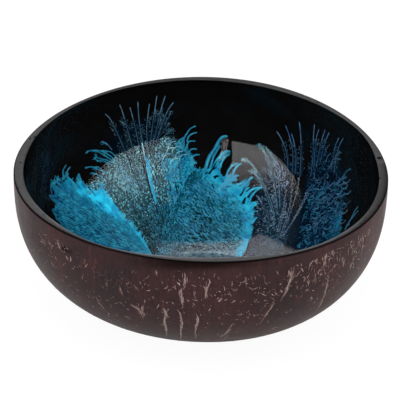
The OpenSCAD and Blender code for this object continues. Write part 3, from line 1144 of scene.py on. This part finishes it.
# Hooks at the right, then bright and dark lines down the body
BACK_LINE_MARKS_PX = [
    ("fringe", [(178, 147), (186, 152), (191, 160), (193, 170)], (0.8, -0.55), 4, CYAN, 60, 0.26),
    ("runs", [[(146.5, 158), (148.5, 172), (151.5, 186), (155.5, 204)], [(148, 160), (150, 174),
     (153, 188), (156.5, 203)], [(147, 163), (149, 177), (152, 190), (156, 200)]], 0.62, SKY, 0.0,
     0.35, 0.03),
    ("runs", [[(142.3, 143), (144.5, 155), (147, 170), (151, 188)]], 0.34, PALE, 0, 0.4, 0.02),
    ("runs", [[(145, 160), (147, 175), (151, 192), (158, 214)], [(139.5, 147), (142, 160),
     (146, 176), (152, 196)], [(127, 155), (133, 172), (143, 194)], [(176, 186), (178, 198),
     (175, 212)]], 0.34, GAP, 0, 0.4, 0.03)]
BACK_HOOK_MARKS_PX = [
    ("drops", [(95, 152), (104, 151), (116, 158), (108, 166), (97, 161)], 60, (0.1, 0.22),
     (DEEP, CYAN)),
    ("runs", [[(178, 150), (181, 143), (186, 135), (190, 129), (195.8, 125.9)], [(176, 147),
     (179, 141), (184, 137)], [(187, 142), (188.5, 137), (192, 134), (197, 132.5)], [(187, 150),
     (187.5, 144), (190, 141.3), (195.5, 141.2)], [(189, 155), (190, 150.5), (193, 149),
     (196.8, 149.3)], [(191, 161), (193, 156.5), (196, 154.8), (199.8, 154.8)], [(190, 165),
     (193, 163), (197, 163.5)], [(184, 146), (184, 140), (186, 134)]], 0.42, CYAN, 0.34, 0.6, 0.02)]
BACK_BODY_MARKS_PX = [
    ("drops", [(160, 160), (186, 156), (192, 172), (184, 196), (164, 178)], 420, (0.15, 0.42),
     (CYAN, SKY)),
    ("dashes", [(98, 184), (118, 158), (146, 148), (156, 200), (160, 240), (148, 246)], 1100,
     BACK_ROOT_PX, 1.7, 0.11, (INK, MIST), 0.3),
    ("dashes", [(150, 145), (172, 142), (184, 160), (176, 205), (158, 200)], 420, BACK_ROOT_PX, 1.8,
     0.11, (TEAL, PALE), 0.3),
    ("drops", [(100, 184), (118, 160), (146, 150), (152, 185), (128, 205)], 230, (0.1, 0.26),
     (MIST, PALE)),
    ("dashes", [(148, 205), (186, 200), (182, 240), (152, 246)], 600, BACK_ROOT_PX, 1.9, 0.12,
     (INK, CYAN), 0.3),
    ("drops", [(118, 165), (134, 168), (152, 215), (144, 222)], 110, (0.14, 0.34), (CYAN, PALE)),
    ("dashes", [(112, 172), (124, 168), (136, 182), (138, 196), (120, 188)], 150, BACK_ROOT_PX, 2.6,
     0.19, (CYAN, SHINE * 0.8), 0.4),
    ("dashes", [(144, 152), (152, 156), (160, 205), (154, 208)], 90, BACK_ROOT_PX, 3.0, 0.2,
     (SKY, SHINE * 0.9), 0.2),
    ("dashes", [(166, 158), (178, 158), (180, 205), (168, 205)], 150, BACK_ROOT_PX, 2.6, 0.2,
     (CYAN, SKY * 1.2), 0.3)]


def back_left_fan():
    """Speckled grey-blue body with bristling stems above it, tendrils and hooks."""
    def colour(u, v):
        pale = ease(0.4, 0.7, u) * (1 - ease(0.6, 0.8, v))
        whole = blend(blend(TEAL, MIST, pale), CYAN, ease(0.62, 0.8, v))
        return whole * (0.32 + 0.68 * ease(0.25, 0.65, u))[..., None]

    def solid(u, v):
        whole = 0.12 - 0.34 * np.maximum(0, np.sin(61 * v + 2.2 * np.sin(17 * v))) ** 2
        whole = whole + 0.12 * ease(0.8, 0.95, u) + 0.35 * ease(0.72, 0.84, v) * ease(0.55, 0.75, u)
        return whole - sum(deep * ridge(at, wide, v) for at, wide, deep in BACK_LINES)

    fan = Fan("back_left_fan_paint", 32, 0.04)
    fan.film(BACK_ROOT_PX, BACK_EDGE_PX, colour, solid, (60, 12),
             lambda u, v: 1 - 0.55 * ease(0.7, 0.85, v) * ease(0.6, 0.8, u), 0.01)
    # Haze of fine drops among the stems
    fan.film((150, 262), BACK_HAZE_PX, lambda u, v: blend(DEEP, STEEL, ease(0.9, 0.75, u)) * 0.35,
             lambda u, v: 0.0 - 0.5 * ease(0.84, 1.0, u), (50, 10), lambda u, v: 1 + 0 * u,
             raised=-0.02)
    for knots, sides in BACK_STEMS_PX:
        fan.brush(knots, STEM, half_width=0.16, barbs=24, reach=5.4, bare=0.4, dots=14, dim=0.8,
                  sides=sides)
    for tip in BACK_SHORT_TIPS_PX:
        start = halfway(BACK_STEM_ROOT_PX, tip, 0.65)
        fan.brush([start, (start + tip) / 2 + (1.0, -0.5), tip], STEM, half_width=0.12, barbs=8,
                  reach=3.4, bare=0.1, dots=3)
    for knots in BACK_TENDRILS_PX:
        near = knots[0][1] > BACK_BRIGHT_BELOW
        fan.run(knots, 0.22, CYAN if near else STEM * 1.3, 0.42, 0.6, 0.02)
        fan.fringe(knots[1:], (-0.8, 0.2), 2.2, CYAN, 16, 0.12, 0.26)
    fan.lay(BACK_HOOK_MARKS_PX)
    for x, y in BACK_HOOKS_PX:
        fan.run([(x, y + 5), (x + 1, y + 1.5), (x + 4, y - 1), (x + 8, y - 1.6)], 0.2, PALE,
                0.24, 0.7, 0.02)
    fan.lay(BACK_LINE_MARKS_PX)
    for knots in BACK_RIBS_PX:
        fan.run(knots, 0.5, CYAN, 0, 0.4, 0.02)
        fan.fringe(knots, (0.0, 1), 2.5, CYAN, 24)
    fan.lay(BACK_BODY_MARKS_PX)
    return fan


MIDDLE_EDGE_PX = [
    (150, 262), (163, 240), (170, 218), (176, 200), (184, 183), (190, 173), (195, 169.5),
    (200, 169), (205, 167.5), (208, 163), (211, 161), (214, 165), (218, 164), (220, 169),
    (222, 176), (226, 178), (229, 174), (232, 178), (235, 176), (235.5, 181), (233, 183.5),
    (239, 184.5), (245, 184), (247.5, 188), (245, 193), (250, 192), (252.5, 196), (250, 199),
    (255, 201.5), (255.5, 205), (252, 208), (252.5, 214), (252, 222), (251.5, 230), (251, 237),
    (248, 242), (246, 249), (240, 260)]
# Tongues of paint that curl over at the top and right, each with its half width
MIDDLE_TONGUES_PX = [
    ([(206, 169), (209, 158), (215, 149), (219, 141), (223, 137), (227.5, 136.4)], 0.95),
    ([(211, 167), (213, 158), (217, 151), (219.5, 147), (220.5, 145.5)], 0.55),
    ([(214, 167), (218, 160), (222, 154.5), (226, 152), (230.5, 151.8)], 0.95),
    ([(219, 170), (222, 162), (226, 156.5), (230, 154)], 0.5),
    ([(226, 178), (229, 170), (233, 165), (238, 163.5)], 0.6),
    ([(232, 178), (234, 171), (237, 166.5), (241.6, 163.6)], 0.6),
    ([(238, 186), (243, 181.5), (247, 179.2)], 0.4),
    ([(242, 188), (247, 183), (250, 179), (252.8, 177.2)], 0.8),
    ([(245, 198), (249, 192), (254, 189), (259, 188), (262.3, 187.8)], 0.75),
    ([(249, 203), (252, 196), (256, 191), (260, 188.6)], 0.5),
    ([(251, 214), (254, 211.5), (258, 211.3)], 0.5),
    ([(251, 224), (255, 219), (257.5, 217.5)], 0.7),
    ([(250, 207), (253.5, 203), (256, 203.5)], 0.6)]
# Place across the picture from which the tongues are brighter
MIDDLE_BRIGHT_FROM = 213
MIDDLE_EDGE_MARKS_PX = [
    ("fringe", [(209, 160), (215, 149), (219, 146)], (0.8, -0.4), 3.2, CYAN, 14, 0.3, 0.3),
    ("fringe", [(216, 163), (222, 158), (227, 153)], (0.7, 0.1), 2.6, CYAN, 12, 0.28, 0.3),
    ("fringe", MIDDLE_EDGE_PX[3:8], (-0.4, -0.9), 2.4, CYAN, 26),
    ("fringe", MIDDLE_EDGE_PX[12:33], (0.85, -0.45), 2.8, SKY, 64, 0.3, 0.34),
    ("fringe", [(251, 200), (252, 220), (250, 238)], (1, -0.1), 2.2, CYAN, 20, 0.26)]
# Dark slits between the tongues, each with its half width
MIDDLE_SLITS_PX = [
    ([(213, 169), (216, 163), (220, 158)], 0.5),
    ([(208, 168), (210, 162), (213, 157)], 0.4),
    ([(214, 178), (217, 176), (219, 177)], 0.7),
    ([(209, 174), (212, 170), (216, 168)], 0.5),
    ([(228, 175), (230.5, 170), (233, 167)], 0.55),
    ([(240, 196), (242.5, 193), (245, 187)], 0.5),
    ([(243, 204), (244.5, 200), (246, 197)], 0.75),
    ([(248, 198), (250.5, 194), (253, 190.5)], 0.5),
    ([(232, 183), (236, 182), (240, 183)], 0.6),
    ([(226, 187), (229, 186.5), (232, 186)], 0.3),
    ([(205, 174), (208, 172)], 0.45),
    ([(212, 184), (214, 189)], 0.4)]
MIDDLE_BODY_MARKS_PX = [
    ("drops", [(156, 244), (200, 242), (244, 236), (247, 252), (200, 256), (158, 254)], 620,
     (0.16, 0.27), (INK, PALE)),
    # Pale grey drops along the front of the rim: paint speckles, made pale as a painted reflection
    ("drops", [(172, 250), (236, 249), (236, 257), (172, 257)], 700, (0.08, 0.2),
     ((0.03, 0.11, 0.15), (0.10, 0.21, 0.27))),
    ("drops", [(176, 252.4), (236, 250.6), (238, 257), (176, 257.4)], 950, (0.13, 0.27),
     ((0.10, 0.18, 0.23), (0.32, 0.40, 0.45))),
    ("dashes", [(186, 186), (200, 177), (222, 184), (240, 200), (252, 216), (249, 241), (180, 244),
     (176, 215)], 1500, (1190, 1080), 3.4, 0.2, (INK, (0.035, 0.38, 0.62))),
    ("dashes", [(170, 195), (190, 178), (194, 205), (184, 242), (160, 244)], 520, (170, 300), 2.4,
     0.16, (INK, CYAN), 0.3)]


def middle_fan():
    """Bright body of slanting dashes with tongues that curl over at its top and right."""
    def colour(u, v):
        sky = 0.8 * ease(0.5, 0.75, v) * ease(0.78, 0.9, u)
        whole = blend(blend((0.018, 0.22, 0.29), CYAN, ease(0.6, 0.85, u)), SKY * 0.86, sky)
        return whole * (0.32 + 0.68 * ease(0.4, 0.8, u))[..., None]

    def solid(u, v):
        near = ease(0.75, 0.45, u)
        side = ease(0.9 + 0.05 * near, 0.94 + 0.03 * near, v)
        return -0.06 + 0.6 * np.maximum(ease(0.74, 0.86, u) * ease(0.12, 0.3, v), side)

    fan = Fan("middle_fan_paint", 33, 0.09)
    fan.film((205, 272), MIDDLE_EDGE_PX, colour, solid, (26, 30),
             lambda u, v: ease(0.32, 0.12, v), 0.015)
    for knots, width in MIDDLE_TONGUES_PX:
        bright = knots[0][0] > MIDDLE_BRIGHT_FROM
        fan.run(knots, width, SKY if bright else CYAN, min(0.62, width * 0.8), 0.55, 0.01)
    fan.lay(MIDDLE_EDGE_MARKS_PX)
    for knots, width in MIDDLE_SLITS_PX:
        fan.run(knots, width, GAP, 0, 0.4, 0.03, 9)
    fan.lay(MIDDLE_BODY_MARKS_PX)
    return fan


PLUME_EDGE_PX = [
    (246, 256), (252, 236), (254, 222), (255, 205), (257, 190), (262, 172), (265, 158), (268, 150),
    (274, 152), (280, 158), (286, 166), (291, 178), (292, 192), (290, 206), (300, 212), (296, 226),
    (290, 240)]
PLUME_STEMS_PX = [
    ([(275, 216), (269, 196), (260, 177), (250, 162.5), (240.5, 159.2)], PALE),
    ([(272, 210), (264, 189), (257, 176), (249.5, 170.3)], PALE),
    ([(278, 210), (274, 182), (268, 160), (263, 149), (257.4, 144)], PALE),
    ([(280, 208), (279, 182), (274, 160), (264.3, 145.4)], PALE),
    ([(270, 222), (263, 206), (257, 195)], LILAC)]
PLUME_ROOT_PX = (272, 226)
PLUME_BEND_PX = (273, 192)
PLUME_TIPS_PX = [
    (253, 186), (258, 179), (263, 168), (267, 159), (272, 157), (276, 162), (281, 166), (285, 172),
    (288, 182), (284, 186), (278, 176), (270, 172)]
PLUME_STRANDS_PX = [
    [(281, 234), (287, 216), (291, 199), (292.5, 176)],
    [(283, 233), (291, 211), (297, 191), (299.5, 176)],
    [(284, 235), (295, 217), (304, 199), (308, 189)],
    [(282, 236), (293, 221), (303, 204), (308, 193)],
    [(279, 232), (283, 217), (287, 204)],
    [(277, 232), (283, 210), (286, 190)]]
PLUME_MARKS_PX = [
    ("drops", [(256, 196), (284, 196), (290, 226), (256, 236)], 300, (0.18, 0.27),
     (INK, LILAC * 1.4)),
    ("drops", [(252, 238), (290, 232), (284, 246), (262, 252), (248, 254)], 220, (0.16, 0.26),
     (DEEP, LILAC))]


def plume_fan():
    """Fine pale strands of beads over a dark film."""
    fan = Fan("plume_paint", 34, 0.05)
    fan.film((272, 262), PLUME_EDGE_PX,
             lambda u, v: blend((0.02, 0.10, 0.16), DEEP, ease(0.4, 0.7, u)),
             lambda u, v: -0.06 - 0.5 * ease(0.5, 0.75, u) + 0 * v, (50, 10),
             lambda u, v: 1 + 0 * u)
    for knots, colour in PLUME_STEMS_PX:
        fan.brush(knots, halfway(STEEL, colour), half_width=0.12, barbs=18, reach=3.4,
                  bare=0.02, dots=4, dim=1.0)
        fan.beads(knots, halfway(colour, SHINE, 0.3), apart=2.6, wide=1.5, radius=0.29)
    for tip in PLUME_TIPS_PX:
        bend = halfway(PLUME_BEND_PX, tip) + (4, 0)
        fan.beads([PLUME_ROOT_PX, bend, tip], LILAC * 2.4, apart=2.3, wide=1.7, radius=0.24)
    for knots in PLUME_STRANDS_PX:
        fan.run(knots, 0.16, LILAC * 0.8, 0, 0.7, 0.02)
        fan.beads(knots, LILAC * 2.1, apart=2.6, wide=1.2, radius=0.22)
    fan.lay(PLUME_MARKS_PX)
    return fan


RIGHT_EDGE_PX = [
    (290, 236), (299, 208), (306, 189), (308, 176), (309, 164), (312, 154), (317, 147), (323, 147),
    (330, 152), (336, 158), (340, 168), (344, 178), (345, 190), (344, 202), (342, 212), (341, 221),
    (340.5, 232), (332, 240), (316, 248), (300, 254)]
RIGHT_STEMS_PX = [
    [(288, 172), (287, 155), (282, 140), (276.3, 130.5)],
    [(292, 175), (293, 156), (290, 138), (285, 123.6)],
    [(295, 174), (296, 158), (294, 142), (291.3, 132.8)],
    [(300, 176), (301, 156), (301, 138), (299.3, 120.2)],
    [(311, 176), (313, 156), (313.5, 138), (314.8, 122.5)],
    [(314, 168), (315, 150), (316.5, 138), (319.4, 128.2)],
    [(317, 164), (320, 148), (322.5, 138), (325.7, 128.8)],
    [(320, 164), (323, 150), (326, 140), (329.7, 131.7)],
    [(331, 172), (333, 158), (335.5, 146), (339.5, 136.8)],
    [(334, 174), (336, 160), (339, 147), (344.1, 136.8)]]
# Place across the picture from which the stems' barbs fall mostly to the right
RIGHT_BARBS_FROM = 303
RIGHT_TOP_MARKS_PX = [
    ("runs", [[(318, 158), (320, 150), (324, 145.5)], [(324, 156), (327, 148), (330, 144.5)],
     [(330, 168), (333, 160), (341, 159)], [(328, 170), (333, 163), (336, 161)], [(326, 162),
     (328, 156), (331, 153.5)], [(334, 160), (337, 154), (341.5, 152.5)]], 0.2, DUSK, 0.28, 0.7,
     0.02),
    ("drops", [(306, 190), (312, 158), (330, 158), (326, 200), (308, 206)], 300, (0.1, 0.28), (DEEP,
     halfway(STEEL, BLUE)))]
RIGHT_SIDE_MARKS_PX = [
    ("runs", [[(338, 184), (343, 177), (347, 171), (351.2, 169)], [(338, 181), (343, 179),
     (347, 177)], [(340, 186), (344, 183.5), (347, 184)], [(341, 191), (344, 189), (347, 189)],
     [(341, 198), (345, 194.5), (348.5, 194)], [(346.5, 226), (351, 219), (355, 211),
     (358.4, 206.3)], [(348, 224), (353, 217), (358.5, 210.5)], [(345, 230), (347, 226),
     (350, 224)]], 0.42, halfway(BLUE, STEEL), 0.4, 0.7, 0.02),
    ("fringe", [(318, 196), (326, 188), (312, 204)], (0.6, -0.5), 3, BLUE, 40, 0.26),
    ("dashes", [(308, 186), (338, 182), (343, 206), (341, 234), (316, 248), (296, 250)], 380,
     (420, 130), 3.0, 0.19, (DEEP, (0.025, 0.24, 0.42)), 0.5, 0.4)]


def right_fan():
    """Dark fan with stems above it and rows of hooks like scales down its right side."""
    fan = Fan("right_fan_paint", 35, 0.06)
    draw = fan.draw
    fan.film((286, 262), RIGHT_EDGE_PX,
             lambda u, v: blend(DEEP * 0.7, BLUE, ease(0.66, 0.74, v) * ease(0.7, 0.85, u)),
             lambda u, v: (-0.12 + 0.8 * ridge(0.77, 0.03, v) * ease(0.84, 0.92, u)
                           - 0.1 * ease(0.6, 0.8, v)), (90, 14),
             lambda u, v: 1 - ease(0.62, 0.7, v))
    for knots in RIGHT_STEMS_PX:
        sides = (-1, -1, 1) if knots[3][0] < RIGHT_BARBS_FROM else (-1, 1, 1)
        fan.brush(knots, DUSK * 1.15, half_width=0.15, barbs=18, reach=4.2, bare=0.36, dots=8,
                  dim=0.8, sides=sides)
    fan.lay(RIGHT_TOP_MARKS_PX)
    for row in range(11):
        y = 176 + 4.9 * row
        for k in range(4):
            x = 341 - 0.006 * (y - 190) ** 2 - 8.2 * k + (row % 2) * 3
            base = np.array((x, y + 2.0)) + draw.normal(0, 0.7, 2)
            if draw.uniform() < 0.85:
                fan.run([base, base + (2.2, 1.6), base + (5.0, 0.6), base + (7.2, -2.4)], 0.24,
                        DUSK * draw.uniform(0.6, 1.5), 0.3, 0.8, 0.02, 10)
    fan.lay(RIGHT_SIDE_MARKS_PX)
    for _ in range(90):
        base = draw.uniform((306, 178), (340, 236))
        size = draw.uniform(2, 5)
        turn = draw.normal(-0.9, 0.5)
        way = size * np.array((math.cos(turn), math.sin(turn)))
        fan.run([base, base + way * 0.6 + 0.2 * size, base + way * 1.2], 0.2,
                DUSK * draw.uniform(0.4, 1.3), 0.26, 0.8, 0.01, 8)
    return fan


STREAKS = 34
STREAK_DROPS = 420


def streaks():
    """Faint strands of dots high on the left wall."""
    fan = Fan("left_streaks_paint", 36)
    draw = fan.draw
    x = draw.uniform(40, 52, STREAKS)
    y = np.minimum(draw.uniform(158, 206, STREAKS), 172 + (x - 30) * 1.9)
    reach = draw.uniform(5, 16, STREAKS)
    starts = np.stack([x, y], 1)
    ends = starts + np.stack([draw.normal(1, 1, STREAKS), -reach], 1)
    fan.runs(arc(starts, (starts + ends) / 2 - (0.7, 0), ends, 9), 0.12, (0.009, 0.02, 0.04))
    t = draw.uniform(0, 1, (STREAK_DROPS, 1))
    strand = draw.integers(0, STREAKS, STREAK_DROPS)
    spots = starts[strand] * (1 - t) + ends[strand] * t
    fan.drops(spots + draw.normal(0, 0.8, (STREAK_DROPS, 2)),
              draw.uniform(0.08, 0.2, STREAK_DROPS),
              blend((0.01, 0.02, 0.04), (0.04, 0.07, 0.10), draw.uniform(0, 1, STREAK_DROPS)))
    return fan


# Scene

# Where the two fans of the front wall stand round from those that they repeat, and how dim: painted
# shade
FRONT_RIGHT_TURN = math.radians(168)
FRONT_RIGHT_PAINTED_SHADE = 0.6
FRONT_LEFT_TURN = math.radians(309)
FRONT_LEFT_PAINTED_SHADE = 0.5


def build_bowl():
    shell_piece()
    finish_piece()
    rim_piece()
    coat_piece("black_lining", SHELL_WALL, PAINT_INSET, black_material(), "black_lacquer",
               "base_lacquer")
    coat_piece("clear_lining", PAINT_INSET + PAINT_ROOM, INSIDE_INSET, clear_material(),
               "clear_coat", "clear_coat")
    fibre_piece()
    left, middle = left_fan(), middle_fan()
    left.build("left_fan", "bright_blue_paint")
    back_left_fan().build("back_left_fan", "grey_blue_paint")
    middle.build("middle_fan", "cyan_paint")
    plume_fan().build("plume", "cyan_paint")
    right_fan().build("right_fan", "deep_blue_paint")
    streaks().build(None, "deep_blue_paint")
    left.build("front_right_fan", "bright_blue_paint", FRONT_RIGHT_TURN, False,
               "front_right_fan_paint", FRONT_RIGHT_PAINTED_SHADE)
    middle.build("front_left_fan", "cyan_paint", FRONT_LEFT_TURN, True, "front_left_fan_paint",
                 FRONT_LEFT_PAINTED_SHADE)


def place_camera():
    place, right, up, forward = camera_frame()
    data = bpy.data.cameras.new("photo_camera")
    data.sensor_width = SENSOR_MM
    data.lens = CAM_FOCUS_PX / PHOTO_SIZE * SENSOR_MM
    data.clip_start = CLIP_START
    obj = bpy.data.objects.new("photo_camera", data)
    turn = Matrix((right, up, -forward)).transposed().to_4x4()
    obj.matrix_world = Matrix.Translation(Vector(place * MM)) @ turn
    bpy.context.scene.collection.objects.link(obj)
    bpy.context.scene.camera = obj


# Area lights: name, azimuth from +Y towards +X, elevation, width, height and watts
BOXES = [
    ("front_right_box", 122, 34, 1.35, 1.05, 5),
    ("front_left_box", -125, 34, 1.3, 1.05, 5),
    ("top_box", 180, 80, 1.2, 1.2, 11)]
BOX_DISTANCE = 0.9


def soft_box(name, azimuth, elevation, width, height, watts):
    """An area light that faces the bowl and that its gloss doesn't mirror."""
    data = bpy.data.lights.new(name, "AREA")
    data.shape = "RECTANGLE"
    data.size, data.size_y = width, height
    data.energy = watts
    obj = bpy.data.objects.new(name, data)
    az, el = math.radians(azimuth), math.radians(elevation)
    way = Vector((math.sin(az) * math.cos(el), math.cos(az) * math.cos(el), math.sin(el)))
    obj.location = way * BOX_DISTANCE
    obj.rotation_euler = way.to_track_quat("Z", "Y").to_euler()
    obj.visible_glossy = False
    bpy.context.scene.collection.objects.link(obj)


# Glows that the gloss of the bowl mirrors: brightness, tint, the azimuths and then the
# elevations between which each comes up and goes down, and how far the azimuth at which
# it goes down, the elevation at which it does, and the azimuth at which it comes up lean
GLOWS = [
    (0.15, (1.0, 1.0, 1.0), (-90, -70), (90, 70), (38, 46), (76, 64), (0, 0, 0)),
    (1.65, (1.0, 0.97, 0.94), (75, 105), (160, 132), (7, 9.5), (72, 30), (0, 0, 0)),
    (2.95, (1.0, 0.98, 0.97), (-163.6, -162.8), (-168, -173), (17, 18.5), (8, -52),
     (-2.6, 0.6, -0.22)),
    (2.70, (1.0, 0.98, 0.97), (-167, -166), (-161.2, -162), (16, 17.5), (46, 42), (0, 0, 0)),
    (2.30, (1.0, 0.96, 1.0), (-36, -31), (26, -6), (34, 40), (56.0, 53), (0, 0, 0))]
# Brightness that the gloss mirrors below the horizon, and elsewhere
LOW_GLOW = 0.85
REST_GLOW = 0.02
# Brightness of the world as a light, and what it looks like to the camera
WORLD_LIGHT = 0.04
WHITE = (1, 1, 1, 1)


def build_world():
    """White behind the bowl, dim for its light, and soft glows for its gloss."""
    world = bpy.data.worlds.new("studio")
    bpy.context.scene.world = world
    world.use_nodes = True
    tree = world.node_tree
    where = add(tree, "ShaderNodeTexCoord").outputs["Generated"]
    axes = add(tree, "ShaderNodeSeparateXYZ", Vector=where).outputs
    degrees = 180 / math.pi
    azimuth = product(tree, math_node(tree, "ARCTAN2", axes["X"], axes["Y"]), degrees)
    elevation = product(tree, math_node(tree, "ARCSINE", axes["Z"], 0.0), degrees)

    def leaning(angle, other, share):
        return math_node(tree, "ADD", angle, product(tree, other, share))

    mirrored = (REST_GLOW,) * 3 + (1,)
    for strength, tint, az_up, az_down, el_up, el_down, lean in GLOWS:
        glow = product(tree, step(tree, leaning(azimuth, elevation, lean[2]), *az_up),
                       step(tree, leaning(azimuth, elevation, lean[0]), *az_down),
                       step(tree, elevation, *el_up),
                       step(tree, leaning(elevation, azimuth, lean[1]), *el_down))
        colour = tuple(c * strength / COAT_SHARE for c in tint)
        mirrored = mix_colour(tree, glow, mirrored, (*colour, 1))
    mirrored = mix_colour(tree, step(tree, elevation, 4, -2), mirrored, (LOW_GLOW,) * 3 + (1,))
    path = add(tree, "ShaderNodeLightPath").outputs
    once = math_node(tree, "LESS_THAN", path["Glossy Depth"], 1.5)
    colour = mix_colour(tree, product(tree, path["Is Glossy Ray"], once),
                        (WORLD_LIGHT,) * 3 + (1,), mirrored)
    colour = mix_colour(tree, path["Is Camera Ray"], colour, WHITE)
    tree.links.new(colour, tree.nodes["Background"].inputs["Color"])


FLOOR_HALF = 3.0
FLOOR_GLOW = 1.1
# Shares of the glow in what the camera sees of the floor, and in what gloss mirrors of it
FLOOR_SEEN = 0.86
FLOOR_MIRRORED = 0.34


def build_floor():
    """A pale floor that keeps the bowl's shadow and mirrors as plain white."""
    white, tree = new_material("studio_floor")
    shade(tree, Base_Color=(0.5, 0.5, 0.5, 1), Roughness=0.9)
    path = add(tree, "ShaderNodeLightPath").outputs
    seen = math_node(tree, "MAXIMUM", path["Is Camera Ray"],
                     product(tree, path["Is Glossy Ray"], FLOOR_MIRRORED))
    mix_surface(tree, product(tree, seen, FLOOR_SEEN), tree.nodes["Principled BSDF"],
                add(tree, "ShaderNodeEmission", Strength=FLOOR_GLOW))
    mesh = bpy.data.meshes.new("studio_floor")
    corners = [(x * FLOOR_HALF, y * FLOOR_HALF, 0) for x, y in ((-1, -1), (1, -1), (1, 1), (-1, 1))]
    mesh.from_pydata(corners, [], [(0, 1, 2, 3)])
    mesh.materials.append(white)
    floor = bpy.data.objects.new("studio_floor", mesh)
    bpy.context.scene.collection.objects.link(floor)


PAINT = paint_material()
place_camera()
build_bowl()
for box in BOXES:
    soft_box(*box)
build_world()
build_floor()
bpy.context.scene.view_settings.view_transform = "Standard"
